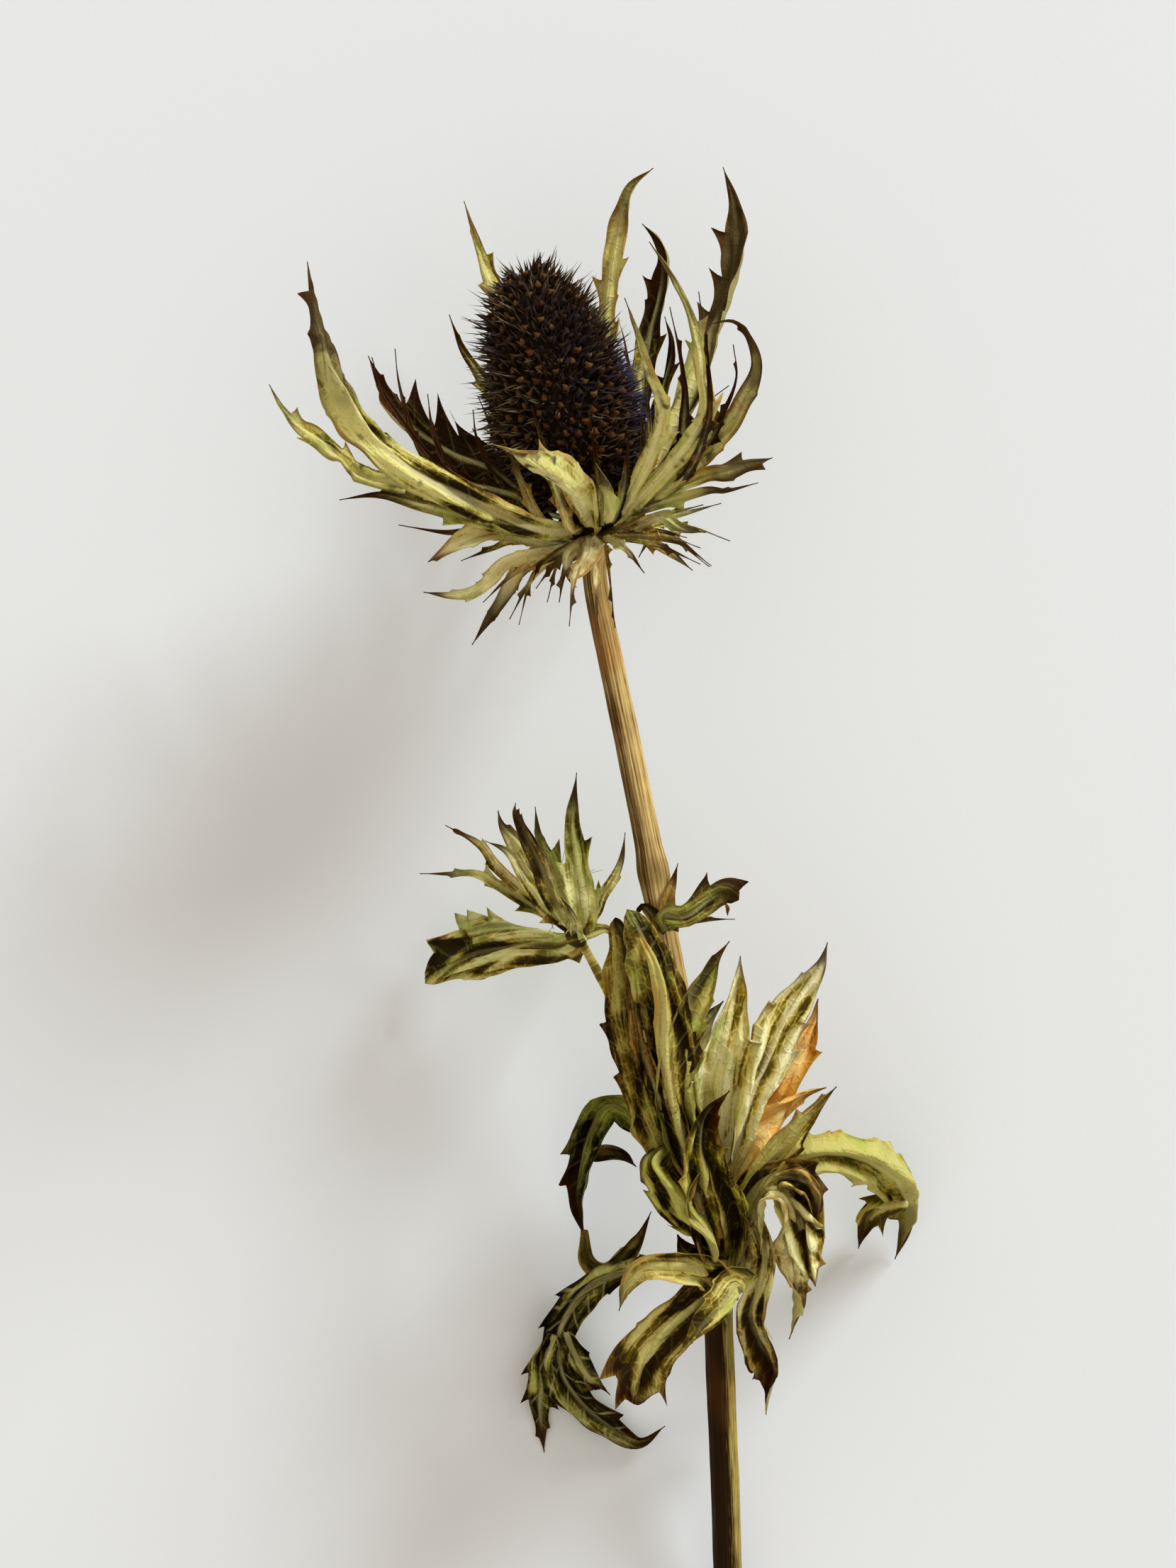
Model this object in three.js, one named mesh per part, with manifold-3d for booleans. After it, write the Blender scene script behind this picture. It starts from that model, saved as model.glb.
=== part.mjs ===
// A dried thistle flower head as picked: the cone of florets in its ruff of spiny bracts,
// on its ridged stem with a side shoot and the crumpled leaves of the lower joint.
// It lies on a surface. Millimetres, +Z up from the surface, +Y along the stem to the head.
import * as THREE from "three";
import Module from "manifold-3d";

const wasm = await Module();
wasm.setup();

// ---------- driving dimensions ----------
const HEAD_BASE = new THREE.Vector3(-2, 56.5, 30); // middle of the cone's foot
const CONE_AXIS = new THREE.Vector3(-8, 29.5, 7).normalize();
const CONE_LENGTH = 31.5;
const CONE_RADIUS = 8.2; // without the florets' spines
const CONE_FOOT = 0.5; // radius of the cone's foot, as a share of its greatest
const CONE_BELLY = 0.33; // share of the cone's length where it is widest
const CONE_BLUNTNESS = 3.4; // the higher, the blunter its top
const CONE_RINGS = [0, 0.08, 0.2, 0.35, 0.5, 0.65, 0.78, 0.88, 0.95, 0.985]; // shares of its length
const CONE_SIDES = 16;
const FLORETS = 180;
const FLORET = { reach: 3.2, depth: 1.2, footRadius: 1.5 };
const SHORT_FLORET = 0.35; // reach of the lowest florets, as a share of a full one's
const FULL_FLORET_FROM = 0.16; // share of the cone's length from which florets are full
const FLORET_LEAN = { side: 0.1, from: 0.45, growth: 1.3 }; // towards the top of the cone

const RUFF = { radius: 4.4, from: -2.7, to: -0.35, rim: 5.7 }; // disc the large bracts grow on
const COLLAR = { radius: 3.1, from: -4.7, to: -3.05, rim: 4.0 }; // disc of the small bracts
const DISC_SIDES = 14;
const ROOT_DEPTH = 0.6; // a bract's route begins at this share of its disc's radius
const PAST_RIM = 0.8; // and bends from the disc's middle only this far past the rim
const STEM_TOP = -5.05; // where the stem ends under the collar, along the cone's axis

const STEM_DIAMETER_TOP = 3.0;
const STEM_DIAMETER_FOOT = 3.7;
const STEM_RIBS = 9;
const RIB_DEPTH = 0.16;
const STEM_STEPS = 24;
const JOINT_SWELL = { radius: 0.35, spread: 2.45 }; // how the stem thickens at its two joints

const SHOOT_CROWN = new THREE.Vector3(-3.5, 1, 16);
const CROWN_AXIS = new THREE.Vector3(-0.3, 1, 0).normalize();
const CROWN_PROFILE = [[-1.67, 0.6], [-0.84, 1.5], [0.84, 1.5], [1.98, 0.7]]; // [along its axis, radius]
const UPPER_JOINT = new THREE.Vector3(6.5, 9.5, 24);
const LOWER_JOINT = new THREE.Vector3(15, -38, 18);
const STRAP_FOOT = { around: 12, along: -7.5 }; // degrees from the top towards +X, mm past the joint

const BLADE_THICKNESS = 0.7;
const ROWS = { apart: 5, least: 2, most: 7, clear: 0.6 }; // the rows of points along a blade
const CLOSEST_ROWS = 0.006; // as a share of the blade's length
const TIP_HALF_WIDTH = 0.22;
const NARROW = 2.3; // a blade narrower than this is flat across
const NOTCH = 1.2; // length of a tooth's notch along the margin
const LONG_SPINE = 2.5; // a spine longer than this has a notch on both sides
const LEAN = 0.7; // how far a tooth leans forward, as a share of its length
const TOOTH_AT_TIP = 0.45; // reach of a tooth where the blade is at its narrowest, as a share
const BEND_STEP = 0.03; // share of a blade's length over which its bend is measured
const BEND_SHARE = 0.8; // a blade's half is at most this share of its bend's radius
const RIPPLE = 0.35; // wave of a crumpled leaf's margin
const FLAT_BELOW = 1; // half width under which the margin has no wave
const GAP = 0.3; // clearance between neighbouring pieces

const STEM_ROUTE = [
  [-1, 47, 27.5], [1.5, 34.5, 26.5], [3.5, 25, 25.5], [6.5, 10, 24], [7.5, 4, 23.5], [12.5, -22.5, 20],
  [15, -37, 18], [15.5, -53, 14], [16.5, -74, 9], [17, -87, 5.5], [17.5, -101.5, 1.9],
];
const SHOOT_STALK = {
  radius: 0.65, sides: 8, steps: 12, around: -70, along: 7, clear: 0.2,
  route: [[9.5, -27, 19.5], [4, -15, 18], [1, -7.5, 15.5], [-1.5, -2.5, 15]],
};

// ---------- bracts and leaves ----------
// A blade is given by its greatest width, the share of its length where that lies (belly), the
// width of its foot (root), the fold of its halves (degrees), the way its upper face looks, its
// teeth (shares of its length on the left and right margin) with the length of their spines, and
// its route in mm from the point that it grows on.
const RUFF_BRACTS = [
  { name: "broad_left", width: 6.4, belly: 0.55, root: 0.5, fold: -22, spine: 2.4, left: [0.9],
    right: [0.5, 0.8], face: [0.45, -0.3, 0.85],
    route: [[-0.5, -1, 3], [-7.5, -3, 10], [-17, 0.5, 16], [-26, 6.5, 18], [-31, 14, 16],
      [-33.5, 21.5, 11], [-35, 27, 6], [-36, 31.5, 2]] },
  { name: "dark_left", width: 5.4, belly: 0.5, root: 0.5, fold: 20, spine: 4.2, left: [0.8],
    right: [0.5, 0.62, 0.76], face: [0.5, -0.2, 0.85],
    route: [[-2.5, 1, 0], [-12, 4.5, 0], [-17.5, 7, -1], [-22, 10, -2], [-25, 13, -3], [-27, 16.5, -3],
      [-28.5, 20, -3]] },
  { name: "low_left", width: 3.2, belly: 0.82, root: 0.45, fold: 20, spine: 1.2, left: [0.8],
    right: [0.7, 0.88], face: [0.55, 0.1, 0.85],
    route: [[-4, -1, 3], [-17.5, 1.5, 2], [-28.5, 4, 0], [-32, 6.5, -2], [-35, 9, -3], [-38, 11, -4],
      [-40, 13.5, -4], [-41.5, 16.5, -5]] },
  { name: "short_left", width: 3.2, belly: 0.4, root: 0.8, fold: 15, spine: 1.8, left: [0.55],
    right: [0.72], face: [0.3, 0, 1],
    route: [[-14, -1, 8], [-21.5, 0, 9], [-26.5, 1, 9], [-31.5, 0.5, 8]] },
  { name: "front_pale", width: 5.2, belly: 0.6, root: 0.6, fold: -25, spine: 1.4, left: [0.6],
    right: [0.75], face: [-0.2, -0.6, 0.9],
    route: [[1, -1.5, 4], [-2, 1.5, 14], [-7, 4, 24], [-11.5, 5.5, 30]] },
  { name: "front_small", width: 2.4, belly: 0.4, fold: -20, face: [-0.2, -0.6, 1],
    route: [[3.5, -2.5, 3], [3, -0.5, 10], [2, 2, 16], [1, 4, 20]] },
  { name: "rear_tall", width: 3.8, belly: 0.6, fold: 20, spine: 1.4, left: [0.78], right: [0.84],
    face: [0.2, 0, 1],
    route: [[0.5, 1, -4], [-5, 14, -16], [-10.5, 27, -19], [-13, 32, -18], [-15, 37.5, -17],
      [-16.5, 42, -15]] },
  { name: "rear_left", width: 3.6, belly: 0.5, fold: 20, spine: 1.4, left: [0.75], right: [0.6],
    face: [0.3, 0, 1],
    route: [[-0.5, 0.5, -4], [-7, 10, -16], [-12.5, 16.5, -19], [-15, 20, -19], [-17, 23, -18],
      [-18.5, 27, -16]] },
  { name: "rest_left", width: 3.8, belly: 0.5, fold: 8, spine: 1.6, left: [0.5, 0.7],
    right: [0.6, 0.8], face: [0.1, 0, 1],
    route: [[-0.5, 0, -5], [-6, 7.5, -21], [-10, 15.5, -28], [-11, 23, -29.5], [-12.5, 27, -30]] },
  { name: "rest_mid", width: 3.4, belly: 0.5, fold: 12, spine: 1.4, left: [0.6], right: [0.7],
    route: [[1, 0.5, -5], [0.5, 9.5, -20], [-0.5, 17.5, -27], [-1, 25, -28.5], [-1.5, 29, -27.5]] },
  { name: "rest_right", width: 3.8, belly: 0.5, fold: 8, spine: 1.6, left: [0.5, 0.7],
    right: [0.6, 0.8], face: [-0.1, 0, 1],
    route: [[3.5, 0.5, -5], [5, 9.5, -21], [6, 17.5, -28], [5, 25, -29.5], [4, 28.5, -30]] },
  { name: "low_back_left", width: 3.4, belly: 0.5, spine: 1.5, left: [0.6], right: [0.7], face: [0.3, 0, 1],
    route: [[-0.5, -1.5, -2], [-7.5, 1, -12], [-14.5, 4, -18], [-18.5, 7.5, -20], [-21, 10, -19]] },
  { name: "low_back_right", width: 3.4, belly: 0.5, spine: 1.5, left: [0.6], right: [0.7],
    face: [-0.3, 0, 1],
    route: [[4.5, -1.5, -2], [8.5, 5, -13], [11.5, 10, -18], [12.5, 14.5, -19], [12, 19, -18]] },
  { name: "tall_pale_right", width: 3.4, belly: 0.74, fold: 20, spine: 1.5, left: [0.66],
    right: [0.55, 0.72], face: [-0.5, 0, 0.85],
    route: [[4.5, 3.5, 0], [3, 11, -3], [2.5, 18.5, -5], [2.5, 26, -6], [3.5, 33, -6], [4.5, 38.5, -5],
      [5.5, 42, -4], [8.5, 44.5, -4]] },
  { name: "dark_lance_right", width: 3.8, belly: 0.72, fold: 20, spine: 1.4, left: [0.78],
    right: [0.6], face: [-0.5, 0, 0.85],
    route: [[6, 7.5, 1], [7, 14.5, -1], [8, 21.5, -2], [9.5, 27.5, -3], [10, 32, -3], [9, 35, -3],
      [7, 37, -2]] },
  { name: "blur_band_left", width: 2.8, belly: 0.4, fold: -20, spine: 1.6, left: [0.6], right: [0.5],
    face: [-0.3, -0.5, 0.9],
    route: [[9.5, 4, 10], [9, 9, 17], [7.5, 15.5, 21], [6, 20.5, 21], [4.5, 24.5, 20]] },
  { name: "blur_band_right", width: 3.0, fold: -20, left: [0.7], right: [0.55, 0.75],
    face: [-0.3, -0.5, 0.9],
    route: [[12, 2.5, 10], [14, 9, 18], [14, 15.5, 22], [12.5, 22, 24], [10, 27, 24], [7.5, 31, 23]] },
  { name: "tall_dark_right", width: 4.2, belly: 0.72, fold: 20, spine: 2.2, left: [0.6, 0.7, 0.82],
    right: [0.5], face: [-0.5, 0, 0.85],
    route: [[11.5, 4.5, 6], [13, 14, 3], [15.5, 21.5, 1], [17.5, 26, -1], [19, 30.5, -2],
      [19.5, 35.5, -3], [19, 40, -3], [17.5, 44.5, -3]] },
  { name: "loop_right", width: 3.8, belly: 0.34, root: 0.6, fold: 15, spine: 3.2, left: [0.38, 0.56],
    face: [-0.2, -0.3, 1],
    route: [[12, 3.5, 8], [16.5, 8, 13], [19.5, 12.5, 16], [21, 16.5, 17], [20, 20, 17], [18, 22, 17],
      [14.5, 21.5, 17]] },
  { name: "low_right_a", width: 2.4, belly: 0.75, fold: 15, spine: 1.3, left: [0.8], right: [0.9],
    face: [-0.3, 0, 1],
    route: [[10.5, 3, 4], [14.5, 3.5, 6], [17.5, 4, 7], [20.5, 5, 7], [23.5, 6, 6]] },
  { name: "low_right_b", width: 1.8, belly: 0.4, fold: 15, spine: 1.2, right: [0.5], face: [-0.3, 0, 1],
    route: [[10.5, 2, 6], [14.5, 1.5, 9], [17.5, 1.5, 10], [21.5, 2.5, 10]] },
  { name: "small_right", width: 2.8, belly: 0.6, spine: 1.6, left: [0.7], right: [0.75],
    face: [-0.4, 0, 0.9],
    route: [[8, 8, -2], [10, 15.5, -5], [11, 21.5, -6], [10, 25.5, -6]] },
];

const COLLAR_BRACTS = [
  { name: "u1", width: 1.3, belly: 0.3, spine: 1.0, left: [0.35],
    route: [[-9, -3.5, 1], [-14, -3, 0], [-18.5, -3, -1], [-24.5, -2, -2]] },
  { name: "u2", width: 3.2, belly: 0.6, spine: 1.0, left: [0.7], right: [0.55],
    route: [[-7, -4, 2], [-11.5, -3, 3], [-16, -4.5, 4], [-19.5, -6.5, 3], [-20.5, -7, 2]] },
  { name: "u3", width: 1.4, belly: 0.3, spine: 1.0, right: [0.5],
    route: [[-6.5, -4, 0], [-9.5, -4, -2], [-12.5, -5, -3], [-16.5, -6.5, -4]] },
  { name: "u4", width: 1.9, belly: 0.6, spine: 1.0, left: [0.75], right: [0.6],
    route: [[-5.5, -5.5, 3], [-10, -7, 4], [-12.5, -9.5, 5], [-14.5, -11, 5], [-17.5, -11.5, 5],
      [-21, -11, 4]] },
  { name: "u5", width: 1.8, belly: 0.6, spine: 1.2, left: [0.45],
    route: [[-5, -5, 0], [-8, -6.5, 0], [-10.5, -11, -1], [-13, -14.5, -1], [-15, -17.5, -2]] },
  { name: "u6", width: 1.3, belly: 0.3,
    route: [[-4, -5.5, 3], [-5.5, -7, 4], [-6.5, -8, 4], [-7, -9.5, 4]] },
  { name: "u7", width: 2.2, belly: 0.3, root: 0.8,
    route: [[-2, -4.5, 4], [-2.5, -6.5, 6], [-2.5, -9, 7], [-1.5, -10.5, 6]] },
  { name: "flap", width: 2.6, belly: 0.6, root: 0.6,
    route: [[1.5, -5.5, 6], [0.5, -6.5, 8], [-1, -8.5, 9], [-2.5, -9.5, 9]] },
  { name: "ur1", width: 1.7, belly: 0.6, spine: 1.0, left: [0.6], right: [0.7],
    route: [[5.5, -0.5, 2], [9, -1.5, 4], [12, -3, 5], [15, -3.5, 6]] },
  { name: "ur2", width: 1.4, belly: 0.5, spine: 1.0, right: [0.5],
    route: [[5.5, -2, 0], [8.5, -4.5, 0], [11, -6, 0], [13.5, -8, 0]] },
  { name: "ur3", width: 1.2, belly: 0.3,
    route: [[6, -2.5, 3], [7.5, -4, 3], [6.5, -6.5, 3], [3.5, -9, 2]] },
];

const SHOOT_BLADES = [
  { name: "v1", width: 1.9, belly: 0.3, spine: 1.2, left: [0.35], right: [0.62],
    route: [[-0.5, 0, -2], [-3.5, 2.5, -2], [-7, 4.5, -3], [-10.5, 6.5, -3], [-13.5, 8, -4],
      [-16.5, 8, -4], [-21, 8, -4]] },
  { name: "v2", width: 1.9, belly: 0.5, spine: 1.2, right: [0.75],
    route: [[-1.5, 1, 0], [-3.5, 3.5, 1], [-7, 6, 0], [-10.5, 9, -1], [-13, 12, -2], [-17.5, 14.5, -2]] },
  { name: "v3", width: 2.5, belly: 0.45, spine: 1.2, left: [0.3], right: [0.75],
    route: [[-1.5, 1, 3], [-4, 4, 5], [-6.5, 7.5, 6], [-9, 11, 5], [-12, 12.5, 4]] },
  { name: "v4", width: 3.2, belly: 0.6, spine: 1.0, right: [0.7], face: [0.3, 0, 1],
    route: [[-1, 1, -2], [-3.5, 4.5, -2], [-6, 9, -2], [-8.5, 12.5, -2], [-10, 14.5, -2],
      [-10.5, 16.5, -2]] },
  { name: "v5", width: 2.6, belly: 0.6, spine: 1.2, right: [0.6], face: [-0.2, 0, 1],
    route: [[-1, 1, 6], [-3, 5, 9], [-4.5, 9, 10], [-6.5, 13, 9], [-8, 16, 7], [-8, 17.5, 5]] },
  { name: "v6", width: 2.6, spine: 2.4, right: [0.62],
    route: [[-0.5, 1.5, 2], [-2, 6, 3], [-3.5, 9.5, 3], [-5, 13, 2], [-5.5, 17, 1]] },
  { name: "v7", width: 3.8, spine: 1.6, left: [0.5], right: [0.35, 0.6],
    route: [[1.5, -1, 4], [1, 2, 5], [0.5, 6, 6], [0, 10.5, 6], [-0.5, 15.5, 5], [0, 21.5, 3]] },
  { name: "v8", width: 1.5, belly: 0.5, spine: 1.6, left: [0.45],
    route: [[1.5, -1, -1], [2.5, 2.5, -3], [3.5, 5, -4], [5, 7.5, -5], [6, 10, -6], [6.5, 13.5, -6]] },
  { name: "v9", width: 6.4, belly: 0.5, root: 0.25, fold: -25, spine: 1.8, left: [0.18, 0.75, 0.9],
    right: [0.42, 0.56, 0.72, 0.88],
    route: [[0.5, -2.5, -2], [-2.5, -1.5, -3], [-6.5, -1.5, -3], [-10.5, -2, -4], [-14, -3, -6],
      [-17, -4.5, -8], [-20.5, -7, -10]] },
  { name: "v10", width: 2.2, belly: 0.4, spine: 1.2, left: [0.5], right: [0.5], face: [0, -0.4, 1],
    route: [[-0.5, 0, 8], [0, 2, 11], [-1, 4, 13], [-2, 5.5, 15]] },
  { name: "v11", width: 2.0, belly: 0.4,
    route: [[-0.5, -1, 1], [1.5, 0.5, 4], [4, 1, 5], [5, -0.5, 3]] },
];

const STRAP_BLADES = [
  { name: "strap", width: 3.2, belly: 0.7, root: 0.55, fold: 20, tip: 0.45, spine: 1.4, left: [0.84],
    route: [[0.5, -4.5, 2.5], [1.5, -5.5, 4.5], [4, -5.5, 6], [7, -3.5, 6], [9, -2.5, 5],
      [11, -3.5, 4]] },
  { name: "strap_spine", width: 1.0, belly: 0.2,
    route: [[1, -5.5, 3], [3.5, -6.5, 5], [7, -6, 5], [10.5, -6, 4]] },
];

const LEAVES = {
  leaf_front: { around: -40, along: 3, lobes: [
    { name: "left", width: 5.6, belly: 0.5, root: 0.25, fold: 25, spine: 1.5,
      left: [0.42, 0.55, 0.68, 0.82], right: [0.9], face: [-0.25, 0, 1],
      route: [[-4.5, 9.5, 9], [-8, 16.5, 14], [-10, 23.5, 17], [-11.5, 29.5, 18], [-12, 35, 19],
        [-12.5, 39, 19], [-13.5, 42, 18]] },
    { name: "middle", width: 5.8, belly: 0.5, root: 0.3, fold: -25, spine: 1.4, right: [0.88],
      route: [[-4, 10.5, 12], [-6.5, 19.5, 18], [-7, 27.5, 22], [-8, 33.5, 23], [-9.5, 38.5, 23],
        [-11, 41.5, 21], [-12, 43, 18]] },
    { name: "right", width: 4.6, belly: 0.6, root: 0.3, fold: 20, spine: 1.3, left: [0.84],
      right: [0.6, 0.74], face: [0.3, 0, 1],
      route: [[-4, 10, 10], [-6, 18, 15], [-6.5, 25, 19], [-5, 29.5, 20], [-3, 33, 20], [-1, 36.5, 19],
        [1, 39, 18]] },
  ] },
  leaf_pale_right: { around: 15, along: 4, lobes: [
    { name: "middle", width: 6.6, belly: 0.55, root: 0.25, fold: 25, spine: 1.8, left: [0.55, 0.75],
      right: [0.7],
      route: [[-0.5, 9.5, 7], [-0.5, 17.5, 12], [0.5, 25, 15], [2, 31.5, 16], [2.5, 37, 15]] },
    { name: "right", width: 6.4, belly: 0.6, root: 0.22, fold: -20, spine: 1.7, left: [0.72, 0.86],
      right: [0.48, 0.6, 0.72], face: [0.25, 0, 1],
      route: [[1.5, 8.5, 6], [3.5, 15.5, 11], [6, 22.5, 13], [8, 28, 13], [11, 32.5, 12], [13, 35.5, 11],
        [14, 38.5, 10]] },
    { name: "fold", width: 5.4, belly: 0.6, root: 0.28, fold: 28, spine: 1.4, left: [0.6],
      face: [-0.4, -0.2, 1],
      route: [[-2.5, 8.5, 4], [-4, 16.5, 8], [-3.5, 24, 10], [-1.5, 28.5, 11], [0.5, 31, 11]] },
  ] },
  leaf_orange: { around: 62, along: 3, lobes: [
    { name: "upper", width: 3.8, belly: 0.7, root: 0.3, fold: 20, spine: 1.4, left: [0.68],
      right: [0.78], face: [0.4, 0, 1],
      route: [[3.5, 9, 2], [6, 16, 5], [8.5, 21, 7], [11.5, 26.5, 7], [13, 31, 6]] },
    { name: "lower", width: 4.4, belly: 0.55, root: 0.3, fold: 20, spine: 1.2, left: [0.7, 0.85],
      right: [0.6], face: [0.2, -0.2, 1],
      route: [[1.5, 8.5, 4], [3, 13.5, 8], [6.5, 16, 9], [10.5, 18.5, 8], [14, 19.5, 7]] },
  ] },
  leaf_right: { around: 80, along: -2, lobes: [
    { name: "upright", width: 3.8, belly: 0.55, root: 0.3, fold: 20, spine: 1.2, left: [0.8],
      right: [0.7], face: [0.1, 0, 1],
      route: [[3.5, 5, 7], [6.5, 10, 11], [10, 14.5, 13], [12.5, 17.5, 13], [15, 20, 12]] },
    { name: "curling", width: 5.8, belly: 0.62, root: 0.28, fold: -15, spine: 1.9,
      left: [0.62, 0.7, 0.79], right: [0.55, 0.86], face: [0.2, -0.1, 1],
      route: [[5.5, 8, 7], [11.5, 10.5, 9], [16, 10.5, 7], [21, 8.5, 2], [25, 5, -6], [26.5, 0, -13],
        [25, -6, -17.5]] },
    { name: "hook", width: 3.4, belly: 0.4, root: 0.6, fold: 10, spine: 1.5, left: [0.5],
      right: [0.35], branch: true,
      route: [[25.5, 3, -5], [23, 2.5, -8], [21, 0, -13], [20, -4.5, -17.5]] },
  ] },
  leaf_hanging: { around: 100, along: -6, lobes: [
    { name: "ribbon", width: 3.8, belly: 0.45, fold: 20, spine: 1.4, left: [0.62], right: [0.7, 0.86],
      face: [0.3, 0, 1], twist: 40,
      route: [[4.5, 1.5, 6], [6, -2, 8], [5.5, -6.5, 5], [4.5, -11.5, 1], [6, -16, -3], [7.5, -19.5, -6],
        [7, -26, -10]] },
    { name: "drooping", width: 4.4, belly: 0.4, root: 0.35, fold: 20, spine: 1.4, left: [0.7, 0.82],
      right: [0.4, 0.6], twist: -40,
      route: [[5, 6, 10], [8.5, 7.5, 13], [10, 4, 11], [9.5, -1, 7], [10.5, -5.5, 2], [11, -10, -3],
        [10, -15.5, -8]] },
  ] },
  leaf_folded: { around: -12, along: -5, lobes: [
    { name: "fold", width: 4.2, belly: 0.45, fold: -25, spine: 1.2, left: [0.6],
      route: [[-1.5, 1, 12], [-4.5, 4.5, 15], [-7.5, 8.5, 16], [-8.5, 10.5, 15], [-7, 12.5, 13]] },
    { name: "inner", width: 4.8, belly: 0.5, root: 0.3, fold: 22, spine: 1.2, left: [0.65], right: [0.75],
      route: [[0.5, 2, 10], [-1.5, 7.5, 15], [-2.5, 12.5, 18], [-1.5, 17, 19], [1, 20, 18]] },
  ] },
  leaf_lower_left: { around: 25, along: -9, lobes: [
    { name: "curl", width: 4.2, belly: 0.45, fold: 25, spine: 1.2, left: [0.7], right: [0.6],
      route: [[-1.5, -4, 10], [-5.5, -3, 14], [-9.5, -3, 15], [-12, -5.5, 14], [-13, -9, 11]] },
    { name: "broad", width: 6.2, belly: 0.72, root: 0.3, fold: 15, tip: 0.7, spine: 2.2, left: [0.85],
      right: [0.78, 0.9],
      route: [[0, -6.5, 7], [-3.5, -9, 10], [-6.5, -11.5, 11], [-9.5, -15, 10], [-10.5, -18.5, 8],
        [-10.5, -22, 6]] },
    { name: "pale", width: 4.6, belly: 0.45, root: 0.45, fold: -22, spine: 1.2, left: [0.6],
      route: [[2, -6, 11], [-0.5, -8.5, 15], [-3, -11, 16], [-5.5, -14, 15]] },
  ] },
  leaf_dark_back: { around: -112, along: 3, lobes: [
    { name: "arch", width: 4.8, belly: 0.62, root: 0.3, fold: 20, spine: 1.3, left: [0.5],
      right: [0.7, 0.8], face: [-0.2, 0, 1],
      route: [[-5, 7.5, -6], [-10, 14, -7], [-14, 16, -7], [-16.5, 12.5, -8], [-18, 7, -10],
        [-18.5, 2.5, -12], [-17.5, -2.5, -13.5]] },
    { name: "tooth", width: 2.2, belly: 0.3, root: 0.7, branch: true,
      route: [[-16.5, 9, -9], [-14, 9.5, -8], [-12, 9, -8], [-10.5, 7.5, -9]] },
    { name: "hook", width: 2.8, belly: 0.45, root: 0.35, spine: 1.2, left: [0.4, 0.6], right: [0.5],
      branch: true,
      route: [[-17.5, -1.5, -13], [-17, -5.5, -14], [-14.5, -7, -13.5], [-12, -5, -12], [-10, -2, -10],
        [-8.5, 1.5, -9]] },
  ] },
  leaf_lying_left: { around: -85, along: -6, lobes: [
    { name: "middle", width: 5.0, belly: 0.68, root: 0.2, fold: 12, spine: 1.5, left: [0.6, 0.7, 0.82],
      right: [0.5, 0.42],
      route: [[-7, -5.5, -8], [-12.5, -7, -11], [-16.5, -9, -13], [-19.5, -12.5, -14], [-21, -16.5, -15],
        [-20.5, -21.5, -16], [-18, -25.5, -17], [-14.5, -28.5, -17], [-10, -31, -17],
        [-6.5, -28.5, -15.5]] },
    { name: "low", width: 3.6, belly: 0.4, root: 0.6, fold: 10, spine: 1.4, left: [0.6],
      right: [0.3, 0.5], branch: true,
      route: [[-21.5, -16, -14.5], [-23, -19.5, -15.5], [-23.5, -23.5, -16.5], [-23.5, -27.5, -17.5],
        [-23, -32.5, -18]] },
    { name: "inner", width: 3.0, belly: 0.4, root: 0.6, fold: 15, spine: 1.2, right: [0.5], branch: true,
      route: [[-20, -15.5, -14], [-19, -18, -14], [-17, -21, -14], [-14, -24, -14]] },
  ] },
};

// ---------- general solids ----------
const vec = (p) => new THREE.Vector3(...p);
const radians = THREE.MathUtils.degToRad;

function solidFrom(points, triangles) {
  const vertProperties = new Float32Array(points.flatMap((p) => p.toArray()));
  const mesh = new wasm.Mesh({ numProp: 3, vertProperties, triVerts: new Uint32Array(triangles.flat()) });
  return new wasm.Manifold(mesh);
}

// Skins rings of equal length, walked so that they turn right-handed about the way they go.
function ringedSolid(rings) {
  const count = rings[0].length;
  const points = rings.flat();
  const triangles = [];
  for (let i = 0; i + 1 < rings.length; i++) {
    for (let j = 0; j < count; j++) {
      const [a, b] = [i * count + j, i * count + ((j + 1) % count)];
      triangles.push([a, b, b + count], [a, b + count, a + count]);
    }
  }
  const middle = (ring) => ring.reduce((sum, p) => sum.add(p), new THREE.Vector3()).divideScalar(count);
  const first = points.push(middle(rings[0])) - 1;
  const last = points.push(middle(rings.at(-1))) - 1;
  const top = (rings.length - 1) * count;
  for (let j = 0; j < count; j++) {
    const next = (j + 1) % count;
    triangles.push([first, next, j], [last, top + j, top + next]);
  }
  return solidFrom(points, triangles);
}

function ring(centre, along, sides, radiusAt) {
  const side = new THREE.Vector3(0, 0, 1).cross(along).normalize();
  const up = along.clone().cross(side);
  return Array.from({ length: sides }, (_, j) => {
    const angle = (2 * Math.PI * j) / sides;
    const outward = side.clone().multiplyScalar(Math.cos(angle)).addScaledVector(up, Math.sin(angle));
    return centre.clone().addScaledVector(outward, radiusAt(j));
  });
}

const fuse = (solids) => solids.reduce((sum, s) => sum.add(s));

// The largest body, so that a scrap cut loose by a neighbour or a sealed pocket is dropped.
function mainBody(solid) {
  const bodies = solid.decompose();
  return bodies.reduce((best, body) => (body.volume() > best.volume() ? body : best));
}

const GROUND = boxBelowSurface(300, 40);
function boxBelowSurface(size, depth) {
  const corners = [[-1, -1], [1, -1], [1, 1], [-1, 1]];
  const at = (z) => corners.map(([x, y]) => new THREE.Vector3((x * size) / 2, (y * size) / 2, z));
  return ringedSolid([at(-depth), at(0)]);
}

// ---------- a bract or leaf lobe: a thin toothed blade along a curve ----------
const BLADE_DEFAULTS = {
  belly: 0.35, root: 0.4, fold: 18, tip: 1.2, spine: 2, left: [], right: [],
  face: [0, 0, 1], twist: 0, ripple: 0,
};

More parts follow.
